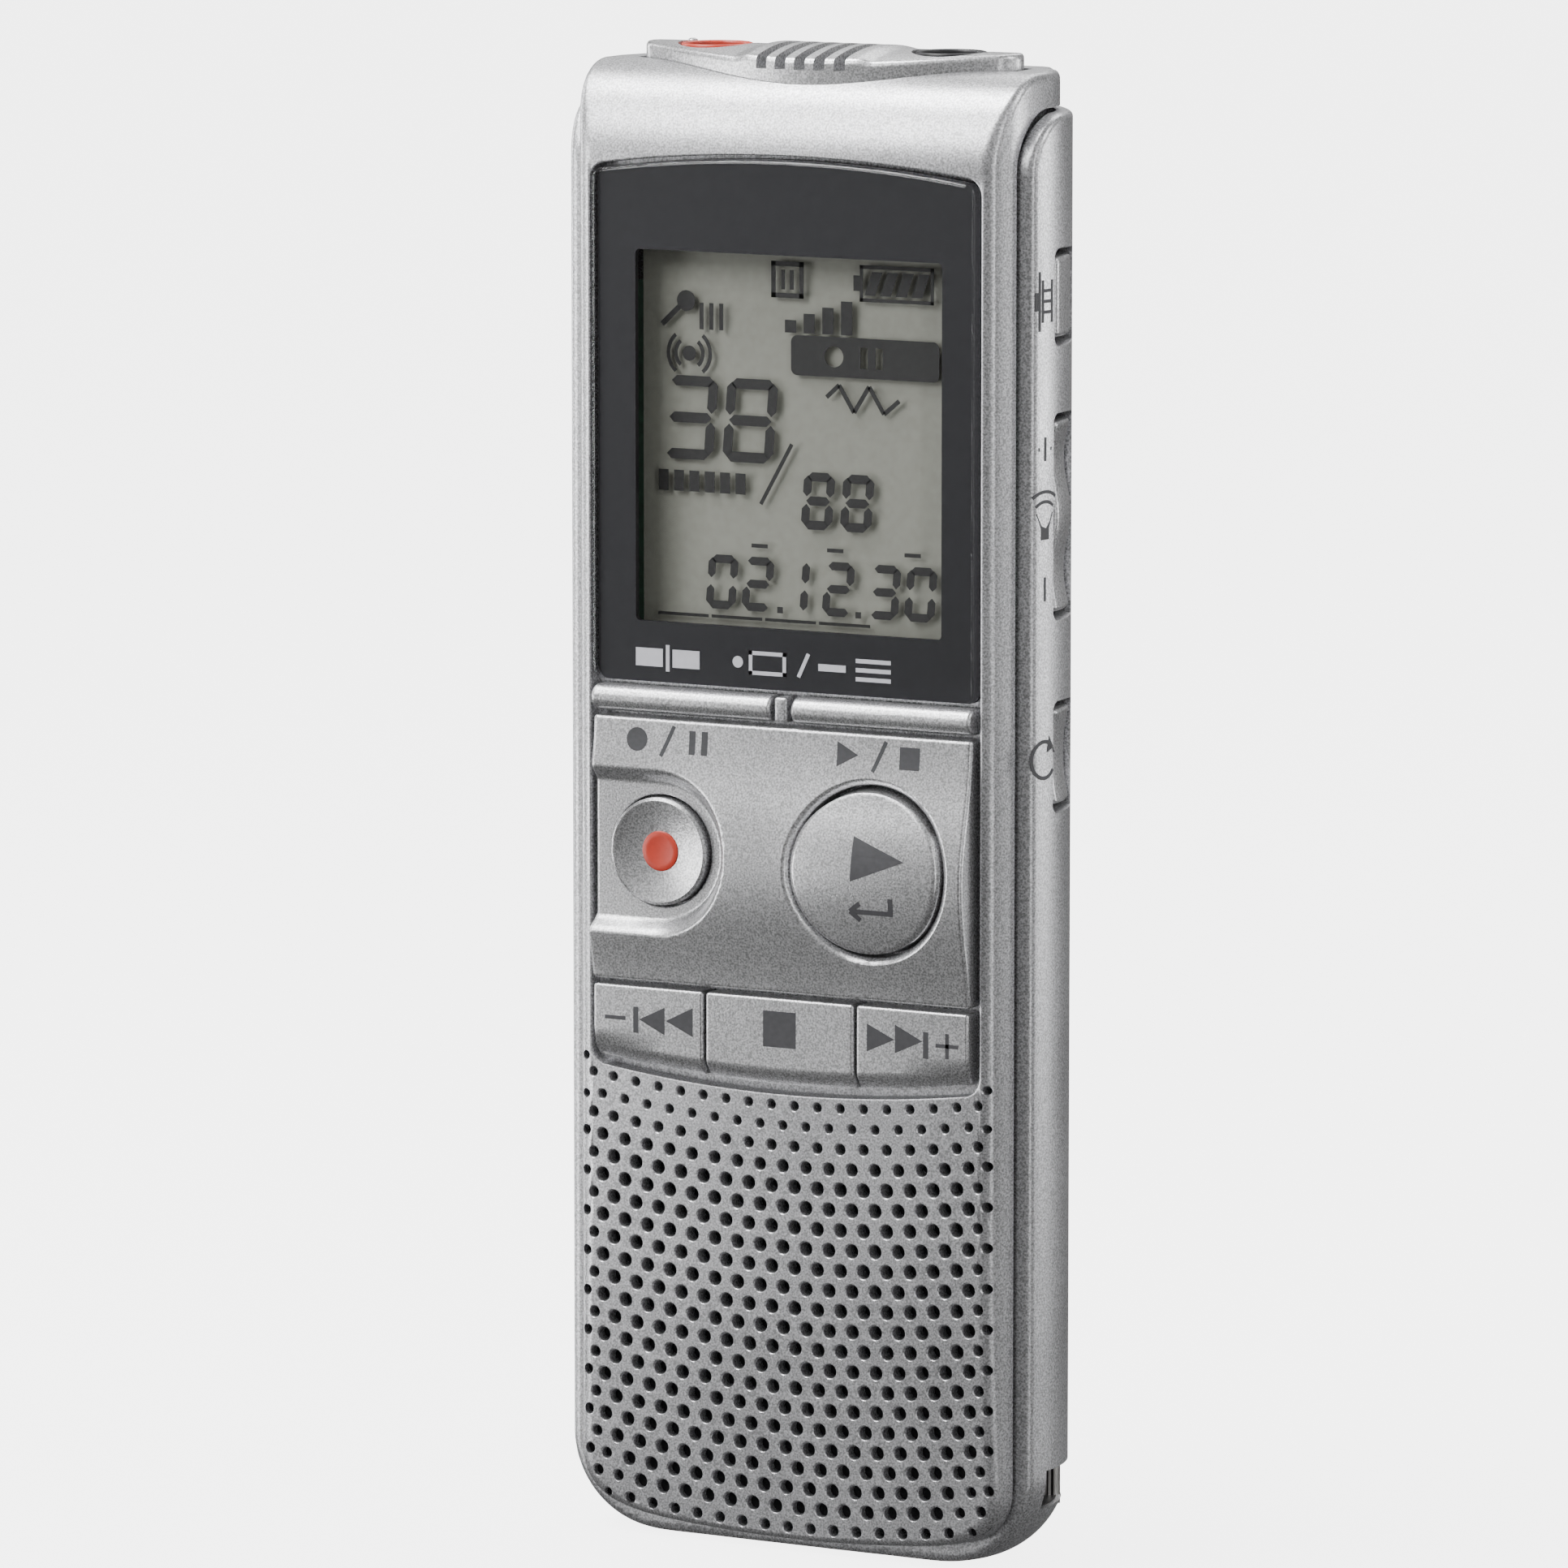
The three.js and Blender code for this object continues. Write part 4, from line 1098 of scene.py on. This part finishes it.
def lcd_digits():
    marks = [stroke(-3.3, 75.2, -0.8, 79.6, 0.28)]
    for x, digit in ((-11.3, 3), (-6.45, 8)):
        marks += seven_segment(x, 78.1, 4.1, 6.0, digit, 0.75)
    for x, digit in ((-0.1, 8), (3.05, 8)):
        marks += seven_segment(x, 73.6, 2.5, 4.1, digit, 0.65)
    for x, digit in ((-7.8, 0), (-4.9, 2), (-2.0, 1), (1.6, 2), (5.3, 3), (8.2, 0)):
        marks += seven_segment(x, 67.5, 2.4, 3.9, digit, 0.6)
    marks += [rect(-11.2 + 1.25 * i, 76.55, 0.8, 1.5) for i in range(6)]
    marks += [rect(x, 72.2, 1.3, 0.28) for x in (-3.4, 2.7, 8.9)]
    marks += [rect(x, 67.7, 0.45, 0.45) for x in (-1.75, 4.55)]
    return marks + [rect(-9.6 + 4.35 * i, 66.95, 4.1, 0.22) for i in range(4)]


def lcd_box():
    """The dark tab on the display, with a light dot and two light bars left out of it."""
    outline = plain_panel(-0.86, 11.0, 84.55, 87.4, 0.5)
    tab = slab("display_tab", outline, SEGMENT_DEPTH, SEGMENT_DEPTH + 0.03)
    for hole in (circle(2.6, 86, 0.75, 24), rect(5.0, 86, 0.55, 1.5), rect(6.2, 86, 0.55, 1.5)):
        carve(tab, slab("tab_cutter", hole, 2, 4))
    finish_piece(tab, "display_glass", material=SEGMENT)


def build_display_marks():
    flat_ink("display_marks", lcd_icons() + lcd_digits(), SEGMENT_DEPTH, SEGMENT, "display_glass")
    lcd_box()
    white = [rect(-11.2, 64.0, 2.2, 1.3), rect(-8.2, 64.0, 2.2, 1.3), rect(-9.7, 64.0, 0.3, 1.9)]
    white += [circle(-4.0, 64.1, 0.42, 16)] + frame_marks(-1.6, 64.1, 3.0, 1.7, 0.28)
    white += [stroke(0.9, 63.3, 1.7, 65.0, 0.28), rect(3.6, 64.1, 2.2, 0.5)]
    white += [rect(6.9, 64.1 + 0.65 * i, 2.8, 0.3) for i in (-1, 0, 1)]
    flat_ink("lens_marks", white, PRINT_DEPTH - 0.04, WHITE_INK, "display_lens")


def build_control_marks():
    marks = [circle(-11.6, 58.2, 0.85, 24), stroke(-9.6, 57.1, -8.6, 59.3, 0.3)]
    marks += [rect(-7.1, 58.2, 0.5, 1.7), rect(-6.1, 58.2, 0.5, 1.7)]
    marks += [polygon((4.6, 57.3), (6.3, 58.2), (4.6, 59.1)), stroke(7.5, 57.1, 8.5, 59.3, 0.3)]
    marks += [rect(10.4, 58.2, 1.6, 1.6)]
    finish_piece(laid("plate_marks", marks, plate_depth, 0.012), "silver_controls", material=GREY_INK)
    marks = [polygon((6.6, 49.45), (10.8, 51.07), (6.7, 52.65))]
    marks += [stroke(6.6, 47.3, 9.9, 47.3, 0.35), stroke(9.75, 47.3, 9.75, 48.4, 0.35)]
    marks += [stroke(6.5, 47.3, 7.3, tip, 0.35) for tip in (47.9, 46.7)]
    obj = laid("play_marks", marks, play_surface, 0.035)
    finish_piece(obj, "silver_controls", None, "play_button", GREY_INK)


def build_key_marks():
    previous = [rect(-13.35, 37.95, 1.7, 0.28), rect(-11.66, 37.9, 0.42, 1.9)]
    previous += [polygon((-11.4, 37.95), (-9.3, 36.95), (-9.3, 38.95))]
    previous += [polygon((-9.2, 38.0), (-7.0, 37.0), (-7.0, 39.1))]
    following = [polygon((9.3, 38.1), (7.1, 39.1), (7.1, 37.1))]
    following += [polygon((11.55, 38.15), (9.35, 39.2), (9.35, 37.15)), rect(11.8, 37.9, 0.42, 1.9)]
    following += [rect(13.5, 37.95, 1.8, 0.28), rect(13.5, 37.95, 0.28, 1.8)]
    stop = [rect(0.05, 38.1, 2.65, 2.6)]
    for side, marks in (("previous", previous), ("stop", stop), ("next", following)):
        front = KEY_FRONT - 0.01
        flat_ink(side + "_marks", marks, front, GREY_INK, "silver_controls", side + "_key", 0.05)


def side_ink(name, shapes):
    """Marks on the right wall, drawn as [depth, height] and laid on the wall."""
    stacks = []
    for shape in shapes:
        outside = TIGHT[0] + np.sqrt(TIGHT[2] ** 2 - (shape[:, 0] - TIGHT[1]) ** 2)
        stacks.append([edgewise(shape, outside - 0.02), edgewise(shape, outside + 0.012)])
    finish_piece(lofts(name, stacks), "silver_case", material=GREY_INK)


def build_side_marks():
    """Icons in front of each side button, turned to read up the case."""
    bin_icon = frame_marks(3.95, 90.6, 1.3, 3.0, 0.26)
    bin_icon += [rect(3.1, 90.6, 0.26, 4.2), rect(2.8, 90.6, 0.3, 1.3)]
    bin_icon += [rect(3.95, 90.6 + 0.75 * i, 0.8, 0.24) for i in (-1, 0, 1)]
    volume = [rect(3.75, 80.2, 0.26, 1.7), rect(3.75, 80.2, 1.5, 0.26), rect(3.75, 70.3, 0.26, 1.7)]
    speaker = [rect(3.75, 74.2, 0.9, 0.8), polygon((3.3, 74.6), (4.2, 74.6), (4.7, 75.7), (2.8, 75.7))]
    speaker += ring_marks(3.75, 75.0, 1.5, 0.24, 50, 130, 8) + ring_marks(3.75, 75.0, 2.2, 0.24, 55, 125, 8)
    loop = ring_marks(3.75, 58.2, 1.3, 0.28, 40, 325, 24) + [polygon((4.3, 59.9), (5.1, 58.6), (4.0, 58.75))]
    side_ink("side_marks", bin_icon + volume + speaker + loop)


# ---- CAD nodes that are shown as they are ----
def dress_frame():
    slots = {part["node"]: part["material_slot"] for part in frame["record"]["subparts"]}
    for node, obj in frame["nodes"].items():
        for holder in obj.material_slots:
            holder.material = SLOT_MATERIALS[slots[node]]
        obj.data.shade_smooth()
        obj.data.set_sharp_from_angle(angle=math.radians(SHARP))


# ---- Studio ----
def build_stage():
    """A pale floor that sweeps up all round into a backdrop. Only the camera sees it."""
    sides = 72
    paper = speckled("studio_paper", (0.35, 0.35, 0.35), 0.95, 0, 0.01, 20, 0.0)
    shader = paper.node_tree.nodes["Principled BSDF"]
    put(shader, Emission_Color=(1, 1, 1, 1), Emission_Strength=PAPER_GLOW)
    turns = np.linspace(-math.pi / 2, 0.2, 10)
    profile = [(4 + 2 * math.cos(t), 2 + 2 * math.sin(t)) for t in turns]
    around = np.linspace(0, 2 * math.pi, sides + 1)[:-1]
    points = [(r * math.cos(a), r * math.sin(a), z) for r, z in profile for a in around]
    faces = [list(range(sides))]
    for low in range(0, len(points) - sides, sides):
        faces += band(low, low + sides, sides)
    mesh = bpy.data.meshes.new("sweep")
    mesh.from_pydata(points, [], faces)
    sweep = in_scene("sweep", mesh)
    mesh.materials.append(paper)
    sweep.visible_diffuse = False
    sweep.visible_glossy = False
    sweep.visible_shadow = False


def add_light(name, around, above, distance, size, power, size_y=None):
    """A soft lamp aimed at the middle of the case: degrees right of the front, and above the horizon."""
    a, e = math.radians(around), math.radians(above)
    away = Vector((math.sin(a) * math.cos(e), -math.cos(a) * math.cos(e), math.sin(e)))
    lamp = bpy.data.lights.new(name, "AREA")
    lamp.shape = "RECTANGLE"
    lamp.size = size
    lamp.size_y = size_y or size
    lamp.energy = power
    obj = in_scene(name, lamp)
    obj.location = Vector((0, 0, 0.055)) + away * distance
    obj.rotation_euler = (-away).to_track_quat("-Z", "Y").to_euler()
    obj.visible_camera = False


def build_world():
    """Soft grey surroundings, dimmer below than above."""
    world = bpy.data.worlds.new("studio")
    world.use_nodes = True
    tree = world.node_tree
    split = add_node(tree, "SeparateXYZ")
    fade = add_node(tree, "MapRange", From_Min=-0.15, From_Max=0.15, To_Min=0.12, To_Max=0.36)
    tree.links.new(add_node(tree, "TexCoord").outputs["Generated"], split.inputs[0])
    tree.links.new(split.outputs["Z"], fade.inputs["Value"])
    tree.links.new(fade.outputs["Result"], tree.nodes["Background"].inputs["Color"])
    put(tree.nodes["Background"], Strength=1.0)
    bpy.context.scene.world = world


def build_lights():
    build_world()
    for name, *numbers in (
        ("top_left", -60, 65, 0.5, 0.2, 2.6),
        ("low_left", -52, -4, 0.5, 0.22, 1.0),
        ("left_strip", -100, 10, 0.4, 0.03, 0.8, 0.4),
        ("front_near", -30, 40, 0.22, 0.1, 0.28),
        ("right_high", 95, 35, 0.5, 0.2, 0.7),
        ("right_low", 95, 5, 0.5, 0.2, 0.16),
        ("right_back", 128, 0, 0.5, 0.15, 0.5),
        ("right_strip", 50, 10, 0.4, 0.03, 0.32, 0.4),
        ("back_fill", -170, 50, 0.6, 0.4, 1.5),
    ):
        add_light(name, *numbers)


def build_camera():
    """The camera stands to the right of the front and a little above it."""
    az, el = math.radians(CAMERA_AROUND), math.radians(CAMERA_ABOVE)
    right = Vector((math.cos(az), math.sin(az), 0))
    up = Vector((-math.sin(az) * math.sin(el), math.cos(az) * math.sin(el), math.cos(el)))
    back = right.cross(up)
    spot = Vector((0, FRONT_Y, 19.345)) + right * 0.112 + up * 35.98 + back * CAMERA_AWAY
    lens = bpy.data.cameras.new("camera")
    lens.sensor_width = 36
    lens.lens = CAMERA_LENS
    lens.clip_start = 0.01
    camera = in_scene("camera", lens)
    turn = Matrix((right, up, back)).transposed().to_4x4()
    camera.matrix_world = Matrix.Translation(spot * MM) @ turn
    bpy.context.scene.camera = camera


dress_frame()
build_front_shell()
build_bridge()
build_rear_shell()
build_eye_painted_shade()
build_battery_cover()
build_top_cap()
build_jack_ring("microphone_jack_ring", -JACK_X, "red_plastic")
build_jack_ring("headphone_jack_ring", JACK_X, "black_plastic")
build_lens()
build_bars()
build_control_plate()
build_buttons()
build_lower_keys()
build_side_buttons()
build_hold_slider()
build_cloth()
build_display_marks()
build_control_marks()
build_key_marks()
build_side_marks()
build_stage()
build_lights()
build_camera()
